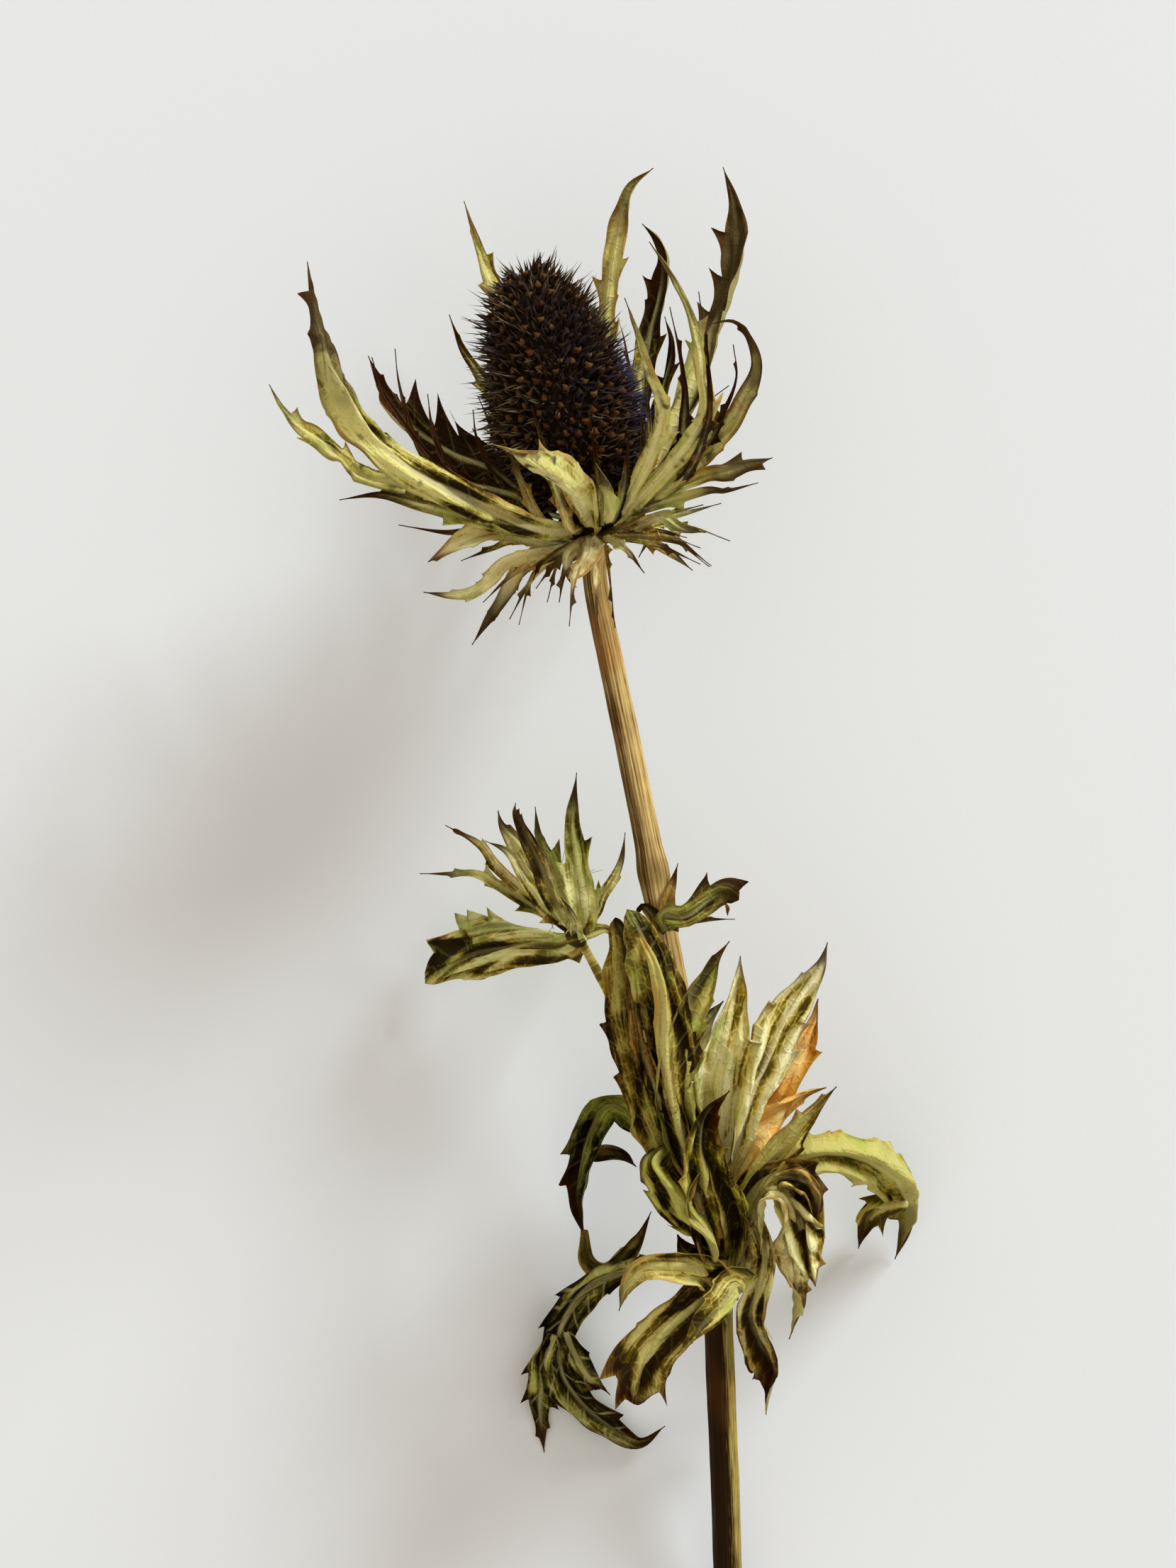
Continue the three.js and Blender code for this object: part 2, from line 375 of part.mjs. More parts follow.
function halfWidth(blade, t) {
  const swelling = Math.sin((Math.PI / 2) * Math.min(t / blade.belly, 1));
  const before = blade.root + (1 - blade.root) * swelling;
  const after = Math.cos((Math.PI / 2) * Math.max((t - blade.belly) / (1 - blade.belly), 0)) ** blade.tip;
  return Math.max((blade.width / 2) * (t < blade.belly ? before : after), TIP_HALF_WIDTH);
}

// Where the blade has a row of points: at each tooth and its notch, and about evenly between.
function stations(blade, length) {
  const foot = NOTCH / length;
  const behind = blade.spine > LONG_SPINE ? foot : 0;
  const teeth = [...blade.left, ...blade.right].flatMap((t) => [t - behind, t, t + foot]);
  const count = THREE.MathUtils.clamp(Math.round(length / ROWS.apart), ROWS.least, ROWS.most);
  const even = Array.from({ length: count }, (_, i) => (i + 1) / (count + 1));
  const free = even.filter((t) => teeth.every((u) => Math.abs(t - u) > ROWS.clear / (count + 1)));
  const rows = [0, ...teeth, ...free, 1].filter((t) => t >= 0 && t <= 1).sort((p, q) => p - q);
  return rows.filter((t, i) => i === 0 || t - rows[i - 1] > CLOSEST_ROWS);
}

function bladeSolid(given, grow = 0) {
  const blade = { ...BLADE_DEFAULTS, ...given };
  const curve = new THREE.CatmullRomCurve3(blade.points, false, "catmullrom", 0.5);
  const length = curve.getLength();
  const narrow = blade.width < NARROW;
  const faces = [[], []];
  stations(blade, length).forEach((t, row) => {
    const at = curve.getPointAt(t);
    const along = curve.getTangentAt(t);
    const [before, after] = [Math.max(t - BEND_STEP, 0), Math.min(t + BEND_STEP, 1)];
    const bend = curve.getTangentAt(after).sub(curve.getTangentAt(before));
    const normal = vec(blade.face).addScaledVector(along, -vec(blade.face).dot(along)).normalize();
    normal.applyAxisAngle(along, radians(blade.twist) * t);
    const across = along.clone().cross(normal);
    const sideways = Math.max(Math.abs(bend.dot(across)), Number.EPSILON);
    const tightest = (BEND_SHARE * 2 * BEND_STEP * length) / sideways;
    const half = Math.min(halfWidth(blade, t), tightest) + grow;
    const edge = (sign, teeth) => {
      const broad = TOOTH_AT_TIP + ((1 - TOOTH_AT_TIP) * 2 * half) / blade.width;
      const reach = teeth.includes(t) ? blade.spine * broad : 0;
      const angle = narrow ? 0 : radians(blade.fold);
      const wave = half > FLAT_BELOW ? blade.ripple * (row % 2 ? sign : -sign) : 0;
      return at.clone()
        .addScaledVector(across, sign * (half + reach) * Math.cos(angle))
        .addScaledVector(normal, (half + reach) * Math.sin(angle) + wave)
        .addScaledVector(along, LEAN * reach);
    };
    const line = [edge(-1, blade.left), ...(narrow ? [] : [at]), edge(1, blade.right)];
    [1, -1].forEach((sign, i) => {
      const shift = normal.clone().multiplyScalar(sign * (BLADE_THICKNESS / 2 + grow));
      faces[i].push(line.map((p) => p.clone().add(shift)));
    });
  });
  return stitched(...faces);
}

// Joins an upper and a lower grid of points, split into triangles alike.
function stitched(upper, lower) {
  const rows = upper.length;
  const columns = upper[0].length;
  const points = [...upper.flat(), ...lower.flat()];
  const top = (i, j) => columns * i + j;
  const under = (i, j) => columns * (rows + i) + j;
  const triangles = [];
  const quad = (a, b, c, d) => triangles.push([a, b, c], [a, c, d]);
  const end = rows - 1;
  const edge = columns - 1;
  for (let i = 0; i < end; i++) {
    for (let j = 0; j < edge; j++) {
      if (j < edge / 2) {
        quad(top(i, j + 1), top(i + 1, j + 1), top(i + 1, j), top(i, j));
        quad(under(i, j + 1), under(i, j), under(i + 1, j), under(i + 1, j + 1));
      } else {
        quad(top(i, j), top(i, j + 1), top(i + 1, j + 1), top(i + 1, j));
        quad(under(i, j), under(i + 1, j), under(i + 1, j + 1), under(i, j + 1));
      }
    }
    quad(top(i, 0), top(i + 1, 0), under(i + 1, 0), under(i, 0));
    quad(top(i, edge), under(i, edge), under(i + 1, edge), top(i + 1, edge));
  }
  for (let j = 0; j < edge; j++) {
    quad(top(0, j), under(0, j), under(0, j + 1), top(0, j + 1));
    quad(top(end, j), top(end, j + 1), under(end, j + 1), under(end, j));
  }
  return solidFrom(points, triangles);
}

// ---------- flower cone ----------
// Radius of the cone at a share of its length: a rounded foot, widest at a third, a blunt top.
function coneRadius(t) {
  const rise = Math.sin((Math.PI / 2) * Math.min(t / CONE_BELLY, 1));
  return CONE_RADIUS * (CONE_FOOT + (1 - CONE_FOOT) * rise) * Math.sqrt(1 - t ** CONE_BLUNTNESS);
}

const conePoint = (t) => HEAD_BASE.clone().addScaledVector(CONE_AXIS, CONE_LENGTH * t);

function coneCore(grow = 0) {
  const centre = (t) => conePoint(t).addScaledVector(CONE_AXIS, t === 0 ? -grow : 0);
  const ringAt = (t) => ring(centre(t), CONE_AXIS, CONE_SIDES, () => coneRadius(t) + grow);
  return ringedSolid(CONE_RINGS.map(ringAt));
}

// Lengths along the cone that share its surface out evenly between the florets.
function evenShares(count) {
  const steps = 400;
  const area = [0];
  for (let i = 1; i <= steps; i++) {
    const [from, to] = [coneRadius((i - 1) / steps), coneRadius(i / steps)];
    area.push(area[i - 1] + ((from + to) / 2) * Math.hypot(CONE_LENGTH / steps, to - from));
  }
  return Array.from({ length: count }, (_, k) => {
    const wanted = (area[steps] * (k + 0.5)) / count;
    return area.findIndex((a) => a >= wanted) / steps;
  });
}

const GOLDEN_ANGLE = Math.PI * (3 - Math.sqrt(5));

// One floret: a three-sided spine, broad at its foot, that leans towards the top of the cone.
function floret(t, index) {
  const azimuth = index * GOLDEN_ANGLE;
  const side = new THREE.Vector3(0, 0, 1).cross(CONE_AXIS).normalize().applyAxisAngle(CONE_AXIS, azimuth);
  const lean = FLORET_LEAN.side + FLORET_LEAN.growth * Math.max(t - FLORET_LEAN.from, 0);
  const out = side.clone().addScaledVector(CONE_AXIS, lean).normalize();
  const full = Math.min(SHORT_FLORET + ((1 - SHORT_FLORET) * t) / FULL_FLORET_FROM, 1);
  const onSurface = conePoint(t).addScaledVector(side, coneRadius(t));
  const at = (height) => onSurface.clone().addScaledVector(out, height);
  const foot = ring(at(-FLORET.depth), out, 3, () => FLORET.footRadius);
  return solidFrom([...foot, at(FLORET.reach * full)], [[0, 2, 1], [0, 1, 3], [1, 2, 3], [2, 0, 3]]);
}

function flowerCone(ruffClearance) {
  const florets = fuse(evenShares(FLORETS).map(floret)).subtract(ruffClearance);
  return mainBody(coneCore().add(florets));
}

// ---------- bracts of the head ----------
function disc({ radius, from, to }, grow = 0) {
  const ringAt = (along) =>
    ring(HEAD_BASE.clone().addScaledVector(CONE_AXIS, along), CONE_AXIS, DISC_SIDES, () => radius + grow);
  return ringedSolid([ringAt(from - grow), ringAt(to + grow)]);
}

// A bract grows out of its disc's rim, so its route begins inside the disc.
function bractPoints(route, { radius, from, to, rim }) {
  const outward = (p) => p.clone().addScaledVector(CONE_AXIS, -p.dot(CONE_AXIS));
  const free = route.map(vec).filter((p, i) => i > 0 && outward(p).length() > rim + PAST_RIM);
  const way = outward(free[0]).normalize();
  const middle = CONE_AXIS.clone().multiplyScalar((from + to) / 2);
  const rooted = [radius * ROOT_DEPTH, rim].map((r) => middle.clone().addScaledVector(way, r));
  return [...rooted, ...free].map((p) => p.add(HEAD_BASE));
}

function bractSolids(bracts, base, grow) {
  return bracts.map((b) => bladeSolid({ ...b, points: bractPoints(b.route, base) }, grow));
}

const ruff = (grow = 0) => fuse([disc(RUFF, grow), ...bractSolids(RUFF_BRACTS, RUFF, grow)]);
const collar = (grow = 0) => fuse([disc(COLLAR, grow), ...bractSolids(COLLAR_BRACTS, COLLAR, grow)]);

// ---------- stem ----------
function stemCurve() {
  const top = HEAD_BASE.clone().addScaledVector(CONE_AXIS, STEM_TOP);
  return new THREE.CatmullRomCurve3([top, ...STEM_ROUTE.map(vec)], false, "catmullrom", 0.5);
}

// The stem thickens down to the middle of its length.
const stemRadius = (t) =>
  THREE.MathUtils.lerp(STEM_DIAMETER_TOP, STEM_DIAMETER_FOOT, Math.min(2 * t, 1)) / 2;

const swell = (p) => [UPPER_JOINT, LOWER_JOINT].reduce((sum, joint) =>
  sum + JOINT_SWELL.radius * Math.exp(-((joint.distanceTo(p) / JOINT_SWELL.spread) ** 2)), 0);

function stem(grow = 0) {
  const curve = stemCurve();
  const rings = Array.from({ length: STEM_STEPS + 1 }, (_, i) => {
    const t = i / STEM_STEPS;
    const at = curve.getPointAt(t);
    const radiusAt = (j) => stemRadius(t) + swell(at) + grow - (j % 2 ? RIB_DEPTH : 0);
    return ring(at, curve.getTangentAt(t), 2 * STEM_RIBS, radiusAt);
  });
  return ringedSolid(rings);
}

// A point beside the stem, `around` degrees from the top towards +X and `along` mm past a joint.
function besideStem(joint, around, along, away) {
  const angle = radians(around);
  const outward = new THREE.Vector3(Math.sin(angle), 0, Math.cos(angle));
  const off = (p) => Math.abs(p.y - joint.y - along);
  const nearest = stemCurve().getSpacedPoints(500).reduce((best, p) => (off(p) < off(best) ? p : best));
  return nearest.clone().addScaledVector(outward, away);
}

// ---------- side shoot, strap leaf and the leaves of the lower joint ----------
const BESIDE = STEM_DIAMETER_FOOT / 2 + JOINT_SWELL.radius + GAP + BLADE_THICKNESS / 2; // a leaf's foot

function sideShoot(grow = 0) {
  const foot = besideStem(LOWER_JOINT, SHOOT_STALK.around, SHOOT_STALK.along, BESIDE + SHOOT_STALK.clear);
  const route = [foot, ...SHOOT_STALK.route.map(vec), SHOOT_CROWN];
  const curve = new THREE.CatmullRomCurve3(route, false, "catmullrom", 0.5);
  const stalk = Array.from({ length: SHOOT_STALK.steps + 1 }, (_, i) => {
    const t = i / SHOOT_STALK.steps;
    const radius = SHOOT_STALK.radius + grow;
    return ring(curve.getPointAt(t), curve.getTangentAt(t), SHOOT_STALK.sides, () => radius);
  });
  const crown = CROWN_PROFILE.map(([along, radius]) => {
    const centre = SHOOT_CROWN.clone().addScaledVector(CROWN_AXIS, along);
    return ring(centre, CROWN_AXIS, SHOOT_STALK.sides, () => radius + grow);
  });
  const blades = SHOOT_BLADES.map((b) => {
    const points = [new THREE.Vector3(), ...b.route.slice(1).map(vec)].map((p) => p.add(SHOOT_CROWN));
    return bladeSolid({ ...b, points }, grow);
  });
  return fuse([ringedSolid(stalk), ringedSolid(crown), ...blades]);
}

function strapLeaf(grow = 0) {
  const { around, along } = STRAP_FOOT;
  const foot = besideStem(UPPER_JOINT, around, along, STEM_DIAMETER_TOP / 2 + GAP + BLADE_THICKNESS);
  return fuse(STRAP_BLADES.map((b) => {
    const points = [foot, ...b.route.slice(1).map((p) => vec(p).add(UPPER_JOINT))];
    return bladeSolid({ ...b, points }, grow);
  }));
}

// A leaf is its lobes fused at the foot; a lobe marked branch grows from another lobe instead.
function leaf({ around, along, lobes }, grow = 0) {
  const foot = besideStem(LOWER_JOINT, around, along, BESIDE);
  return fuse(lobes.map((lobe) => {
    const free = lobe.route.map((p) => vec(p).add(LOWER_JOINT));
    const points = lobe.branch ? free : [foot.clone(), ...free];
    return bladeSolid({ ripple: RIPPLE, ...lobe, points }, grow);
  }));
}

// ---------- the plant: each piece is cut back where an earlier one already lies ----------
function assembled() {
  const makers = {
    stem,
    ruff_of_bracts: ruff,
    collar_of_bracts: collar,
    strap_leaf: strapLeaf,
    ...Object.fromEntries(Object.entries(LEAVES).map(([name, spec]) => [name, (grow) => leaf(spec, grow)])),
    side_shoot: sideShoot,
  };
  const pieces = {};
  let taken = coneCore(GAP);
  for (const [name, make] of Object.entries(makers)) {
    pieces[name] = mainBody(make(0).subtract(GROUND).subtract(taken));
    taken = taken.add(make(GAP));
  }
  pieces.flower_cone = flowerCone(ruff(GAP));
  return pieces;
}

// ---------- materials and scene graph ----------
const COLOURS = {
  stem: "#a08a45",
  flower_cone: "#2c2317",
  ruff_of_bracts: "#a39a4e",
  collar_of_bracts: "#7d7033",
  strap_leaf: "#7f8440",
  leaf_front: "#8a8540",
  leaf_pale_right: "#b3ab63",
  leaf_orange: "#a8762f",
  leaf_right: "#a9a24c",
  leaf_hanging: "#6d6a2a",
  leaf_folded: "#9c9648",
  leaf_lower_left: "#83762e",
  leaf_dark_back: "#35301a",
  leaf_lying_left: "#5a5f28",
  side_shoot: "#8b8c4d",
};

function meshOf(name, solid) {
  const { vertProperties, triVerts } = solid.getMesh();
  const geometry = new THREE.BufferGeometry()
    .setAttribute("position", new THREE.BufferAttribute(new Float32Array(vertProperties), 3))
    .setIndex(new THREE.BufferAttribute(new Uint32Array(triVerts), 1));
  geometry.computeVertexNormals();
  const material = new THREE.MeshStandardMaterial({ color: COLOURS[name], roughness: 0.8, metalness: 0 });
  const mesh = new THREE.Mesh(geometry, material);
  mesh.name = name;
  return mesh;
}

const plant = new THREE.Group();
plant.name = "dried_thistle_flower_head";
for (const [name, solid] of Object.entries(assembled())) plant.add(meshOf(name, solid));

export default plant;
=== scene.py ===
# %% [markdown]
# # A dried thistle flower head
# The object is one cut flower that lies on a pale surface: an egg-shaped cone of dark florets in
# a ruff of spiny bracts, on a ribbed stem with a side shoot and a bunch of crumpled leaves.
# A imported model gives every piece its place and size. This file dresses it: each solid is
# replaced by a finer piece of the same form. Lengths in the tables are in millimetres, and the
# factor MM turns them into Blender's metres. +Z points up from the surface, and +Y along the stem
# towards the flower.

import math
from types import SimpleNamespace

import bpy
import numpy as np
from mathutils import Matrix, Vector


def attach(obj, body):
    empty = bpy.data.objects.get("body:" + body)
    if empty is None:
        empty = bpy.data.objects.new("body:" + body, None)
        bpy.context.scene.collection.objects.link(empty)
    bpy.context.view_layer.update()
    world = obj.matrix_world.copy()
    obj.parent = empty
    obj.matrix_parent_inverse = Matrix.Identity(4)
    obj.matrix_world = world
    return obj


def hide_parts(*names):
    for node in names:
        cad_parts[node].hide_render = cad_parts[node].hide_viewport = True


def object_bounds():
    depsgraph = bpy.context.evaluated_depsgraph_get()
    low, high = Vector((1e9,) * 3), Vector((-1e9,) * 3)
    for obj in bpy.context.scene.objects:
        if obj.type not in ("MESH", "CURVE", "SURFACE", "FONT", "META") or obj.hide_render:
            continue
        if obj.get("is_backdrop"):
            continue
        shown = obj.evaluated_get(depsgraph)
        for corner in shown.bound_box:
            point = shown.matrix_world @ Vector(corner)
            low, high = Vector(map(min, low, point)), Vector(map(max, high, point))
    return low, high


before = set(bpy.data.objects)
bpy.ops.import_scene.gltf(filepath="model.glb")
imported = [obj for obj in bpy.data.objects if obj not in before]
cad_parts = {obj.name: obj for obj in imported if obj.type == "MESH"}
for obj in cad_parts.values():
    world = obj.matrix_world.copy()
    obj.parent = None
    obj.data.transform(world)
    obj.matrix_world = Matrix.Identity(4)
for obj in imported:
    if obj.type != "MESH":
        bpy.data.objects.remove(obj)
cad_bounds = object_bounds()
MM = 0.001
BODY = "root"
print("solids to dress:", sorted(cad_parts))

# %% [markdown]
# ## Camera
# The picture to match is taken straight from above with a long lens, so the flower shows almost
# no perspective. Its frame is 1659 by 2212 pixels. At 507 mm above the surface an 85 mm lens on
# a sensor 36 mm high takes in 215 mm, which is the height of the picture at this flower's size.

# %% Camera
PHOTO_SIZE = (1659, 2212)
CAMERA_PLACE = Vector((-2, 21, 507)) * MM
LENS_MM = 85
SENSOR_HEIGHT_MM = 36


def put(name, data):
    """A new object in the scene that shows a camera, a light or a mesh."""
    thing = bpy.data.objects.new(name, data)
    bpy.context.scene.collection.objects.link(thing)
    return thing


camera_data = bpy.data.cameras.new("camera")
camera_data.sensor_fit = "VERTICAL"
camera_data.sensor_height = SENSOR_HEIGHT_MM
camera_data.lens = LENS_MM
camera = put("camera", camera_data)
camera.location = CAMERA_PLACE
bpy.context.scene.camera = camera
seen = CAMERA_PLACE.z * SENSOR_HEIGHT_MM / LENS_MM
print(f"the camera sees {seen * PHOTO_SIZE[0] / PHOTO_SIZE[1]:.3f} by {seen:.3f} m of the surface")

# %% [markdown]
# ## Light
# The flower throws one wide soft shadow to the lower left, so the light is one large round window
# to the upper right, five metres off and low over the surface. A pale room fills the rest. The
# window is bluish and the room warm, which gives cool lights and warm shadows.

# %% Light
KEY_DIRECTION = Vector((0.63, 0.775, 0.46)).normalized()
KEY_DISTANCE = 5.0
KEY_SIZE = 1.8
KEY_POWER = 236
KEY_COLOUR = (0.84, 0.905, 1.0)
FILL_STRENGTH = 0.69
FILL_COLOUR = (0.985, 0.905, 0.81, 1)

scene = bpy.context.scene
scene.view_settings.view_transform = "Standard"
scene.view_settings.look = "None"

key_data = bpy.data.lights.new("window_light", "AREA")
key_data.shape = "DISK"
key_data.size = KEY_SIZE
key_data.energy = KEY_POWER
key_data.color = KEY_COLOUR
key = put("window_light", key_data)
key.location = KEY_DIRECTION * KEY_DISTANCE
key.rotation_euler = KEY_DIRECTION.to_track_quat("Z", "Y").to_euler()

world = bpy.data.worlds.new("pale_room")
world.use_nodes = True
room = world.node_tree.nodes["Background"]
room.inputs["Color"].default_value = FILL_COLOUR
room.inputs["Strength"].default_value = FILL_STRENGTH
scene.world = world
print("light comes from", tuple(round(c, 2) for c in KEY_DIRECTION))

# %% [markdown]
# ## Node helpers
# Materials and Geometry Nodes trees are both built by the same small helpers: `add` makes a node,
# sets its properties and fills its inputs, and `read` gives one of its outputs. A formula would
# still take a page of such calls, so an output comes as a `Field`, whose +, - and * each add one
# Math node. A sum of masks then reads as it would on paper.

# %% Node helpers
def fill(tree, socket, value):
    """Links an input to a field or a socket, or sets it to a plain value."""
    value = getattr(value, "socket", value)
    if isinstance(value, bpy.types.NodeSocket):
        tree.links.new(value, socket)
    else:
        socket.default_value = value


def add(tree, kind, inputs=None, **settings):
    node = tree.nodes.new(kind)
    for name, value in settings.items():
        setattr(node, name, value)
    for name, value in (inputs or {}).items():
        fill(tree, node.inputs[name], value)
    return node


def read(tree, kind, output, inputs=None, **settings):
    """One output of a new node, by its name or its place."""
    return Field(tree, add(tree, kind, inputs, **settings).outputs[output])


class Field:
    """A value that changes over the surface, as the output of a node."""

    def __init__(self, tree, socket):
        self.tree, self.socket = tree, socket

    def math(self, operation, other=0.0):
        return read(self.tree, "ShaderNodeMath", 0, {0: self, 1: other}, operation=operation)

    def __add__(self, other):
        return self.math("ADD", other)

    def __sub__(self, other):
        return self.math("SUBTRACT", other)

    def __rsub__(self, other):
        return read(self.tree, "ShaderNodeMath", 0, {0: other, 1: self}, operation="SUBTRACT")

    def __mul__(self, other):
        return self.math("MULTIPLY", other)

    def __abs__(self):
        return self.math("ABSOLUTE")

    def ramp(self, low, high):
        """0 below low and 1 above high, or the other way round, with soft ends."""
        inputs = {"Value": self, "From Min": low, "From Max": high}
        return read(self.tree, "ShaderNodeMapRange", "Result", inputs, interpolation_type="SMOOTHSTEP")


def new_socket(tree, name, kind, value=None, output=False):
    """A named input or output of a node group."""
    way = "OUTPUT" if output else "INPUT"
    socket = tree.interface.new_socket(name, in_out=way, socket_type=kind)
    if value is not None:
        socket.default_value = value


def group_inputs(tree):
    """What a node group is given, as fields by name."""
    sockets = add(tree, "NodeGroupInput").outputs
    return {socket.name: Field(tree, socket) for socket in sockets if socket.name}


print("a field knows +, -, *, math and ramp")

# %% [markdown]
# ## Colours and shaders
# Colours are written as on a paint chart and turned into Blender's linear ones. Every material
# starts from the same shader. What is the same all over a surface is set on the shader's own
# sockets, because a baked model loses such a value if it comes through a node.

# %% Colour and shader helpers
def linear(code):
    """A colour such as "c4b869" as Blender's linear colour."""
    parts = [int(code[i:i + 2], 16) / 255 for i in (0, 2, 4)]
    return (*[p / 12.92 if p <= 0.04045 else ((p + 0.055) / 1.055) ** 2.4 for p in parts], 1)


def bare_material(name, constants):
    """A new material with its tree and its shader, and the shader's constants set."""
    material = bpy.data.materials.new(name)
    material.use_nodes = True
    shader = material.node_tree.nodes["Principled BSDF"]
    for socket, value in constants.items():
        shader.inputs[socket].default_value = value
    return material, material.node_tree, shader


def object_place(tree):
    return read(tree, "ShaderNodeTexCoord", "Object")


def noise(tree, place, scale, detail=2.0, roughness=0.5):
    inputs = {"Vector": place, "Scale": scale, "Detail": detail, "Roughness": roughness}
    return read(tree, "ShaderNodeTexNoise", "Fac", inputs)


def emboss(tree, shader, height, strength, depth):
    """Fine relief from a field: how strong it looks, and how deep it is in metres."""
    inputs = {"Height": height, "Strength": strength, "Distance": depth}
    fill(tree, shader.inputs["Normal"], read(tree, "ShaderNodeBump", "Normal", inputs))


print("pale straw is", tuple(round(c, 3) for c in linear("c4b869")))

# %% [markdown]
# ## The surface
# The flower lies on plain pale card. A large flat sheet with a very fine, almost invisible tooth
# is enough. It is marked as stage, because it isn't part of the object.

# %% Pale surface
SURFACE_HALF = 2.5
CARD_TOOTH_SCALE = 1800.0


def pale_card():
    constants = {"Base Color": linear("e7eaeb"), "Roughness": 0.9, "Specular IOR Level": 0.15}
    material, tree, shader = bare_material("pale_card", constants)
    emboss(tree, shader, noise(tree, object_place(tree), CARD_TOOTH_SCALE), 0.05, 0.0002)
    return material


corners = [(-1, -1), (1, -1), (1, 1), (-1, 1)]
surface_mesh = bpy.data.meshes.new("surface")
surface_mesh.from_pydata([(x * SURFACE_HALF, y * SURFACE_HALF, 0) for x, y in corners], [], [(0, 1, 2, 3)])
surface_mesh.materials.append(pale_card())
surface = put("surface", surface_mesh)
surface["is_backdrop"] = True
print("surface laid,", 2 * SURFACE_HALF, "m each way")

# %% [markdown]
# ## Where things grow
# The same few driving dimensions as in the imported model: the foot and the direction of the cone,
# the two discs that the bracts grow on, the stem's route, and its two joints. Places along the
# cone's axis are counted from its foot, HEAD_BASE, and are negative below it.

# %% Driving dimensions, in millimetres
def unit(vector):
    vector = np.asarray(vector, float)
    return vector / np.linalg.norm(vector)


HEAD_BASE = np.array([-2, 56.5, 30])
CONE_AXIS = unit([-8, 29.5, 7])
CONE_LENGTH = 31.5
CONE_RADIUS = 8.2
CONE_FOOT = 0.5  # where the solid cone begins
CONE_BELLY = 0.33  # share of its length at which it is widest
CONE_ROOT = 0.5  # its radius at the foot, as a share of the greatest
CONE_TAPER = 0.11  # how much thinner it gets towards the top
TAPER_FROM = 0.3
CONE_BLUNTNESS = 3.4
RUFF = dict(radius=4.4, low=-2.7, high=-0.35, rim=5.7)
COLLAR = dict(radius=3.1, low=-4.7, high=-3.05, rim=4.0)
ROOT_DEPTH = 0.6  # share of a disc's radius at which its bracts begin
PAST_RIM = 0.8  # nearest that a picked point may lie outside a disc's rim
STEM_TOP = -5.05
STEM_RADIUS = (1.5, 1.85)  # at the top and at the foot
STEM_ROUTE = [(-1, 47, 27.5), (1.5, 34.5, 26.5), (3.5, 25, 25.5), (6.5, 10, 24), (7.5, 4, 23.5),
              (12.5, -22.5, 20), (15, -37, 18), (15.5, -53, 14), (16.5, -74, 9), (17, -87, 5.5),
              (17.5, -101.5, 1.9)]
UPPER_JOINT = np.array([6.5, 9.5, 24])
LOWER_JOINT = np.array([15, -38, 18])
JOINT_SWELL = 0.35
JOINT_SPREAD = 2.45
SHOOT_CROWN = np.array([-3.5, 1, 16])
SHOOT_STALK = dict(radius=0.65, around=-70, along=7, clear=0.2,
                   route=[(9.5, -27, 19.5), (4, -15, 18), (1, -7.5, 15.5), (-1.5, -2.5, 15)])
STRAP_FOOT = dict(around=12, along=-7.5)
GAP = 0.3  # between the solids
LOWEST = 0.02  # the stalk stays this far above the surface
BLADE_SOLID = 0.7  # thickness of a solid blade
BESIDE = STEM_RADIUS[1] + JOINT_SWELL + GAP + BLADE_SOLID / 2
print("the cone points to", CONE_AXIS.round(2))

# %% [markdown]
# ## Curves
# Every stalk, bract and leaf lobe follows a smooth curve through a few given points.
# A uniform Catmull-Rom spline passes through its points, so a route stays easy to read. It is
# turned into a dense line with its running length, which gives a place and a direction anywhere.

# %% Spline through chosen points
class Line:
    """A smooth line; a share of 0 is its start and 1 its end."""

    def __init__(self, points, fineness=24):
        p = np.array(points, float)
        ends = np.vstack([2 * p[0] - p[1], p, 2 * p[-1] - p[-2]])
        u = np.linspace(0, 1, fineness, endpoint=False)[:, None]
        spans = [0.5 * (2 * b + (c - a) * u + (2 * a - 5 * b + 4 * c - d) * u**2
                        + (3 * b - a - 3 * c + d) * u**3)
                 for a, b, c, d in zip(ends, ends[1:], ends[2:], ends[3:])]
        self.dots = np.vstack(spans + [p[-1:]])
        steps = np.linalg.norm(np.diff(self.dots, axis=0), axis=1)
        self.run = np.concatenate([[0], np.cumsum(steps)])
        self.length = self.run[-1]

    def at(self, share):
        where = np.clip(share, 0, 1) * self.length
        return np.stack([np.interp(where, self.run, self.dots[:, k]) for k in range(3)], axis=-1)

    def heading(self, share, step=0.01):
        inside = np.clip(share, step, 1 - step)
        ahead = self.at(inside + step) - self.at(inside - step)
        return ahead / np.linalg.norm(ahead, axis=-1, keepdims=True)


stem_line = Line([HEAD_BASE + CONE_AXIS * STEM_TOP, *STEM_ROUTE])


def beside_stem(joint, around, along, away):
    """A point beside the stem: degrees round it from the top towards +X, and mm past a joint."""
    spots = stem_line.at(np.linspace(0, 1, 501))
    nearest = spots[np.argmin(np.abs(spots[:, 1] - joint[1] - along))]
    angle = math.radians(around)
    return nearest + away * np.array([math.sin(angle), 0, math.cos(angle)])


print(f"the stem is {stem_line.length:.0f} mm long")
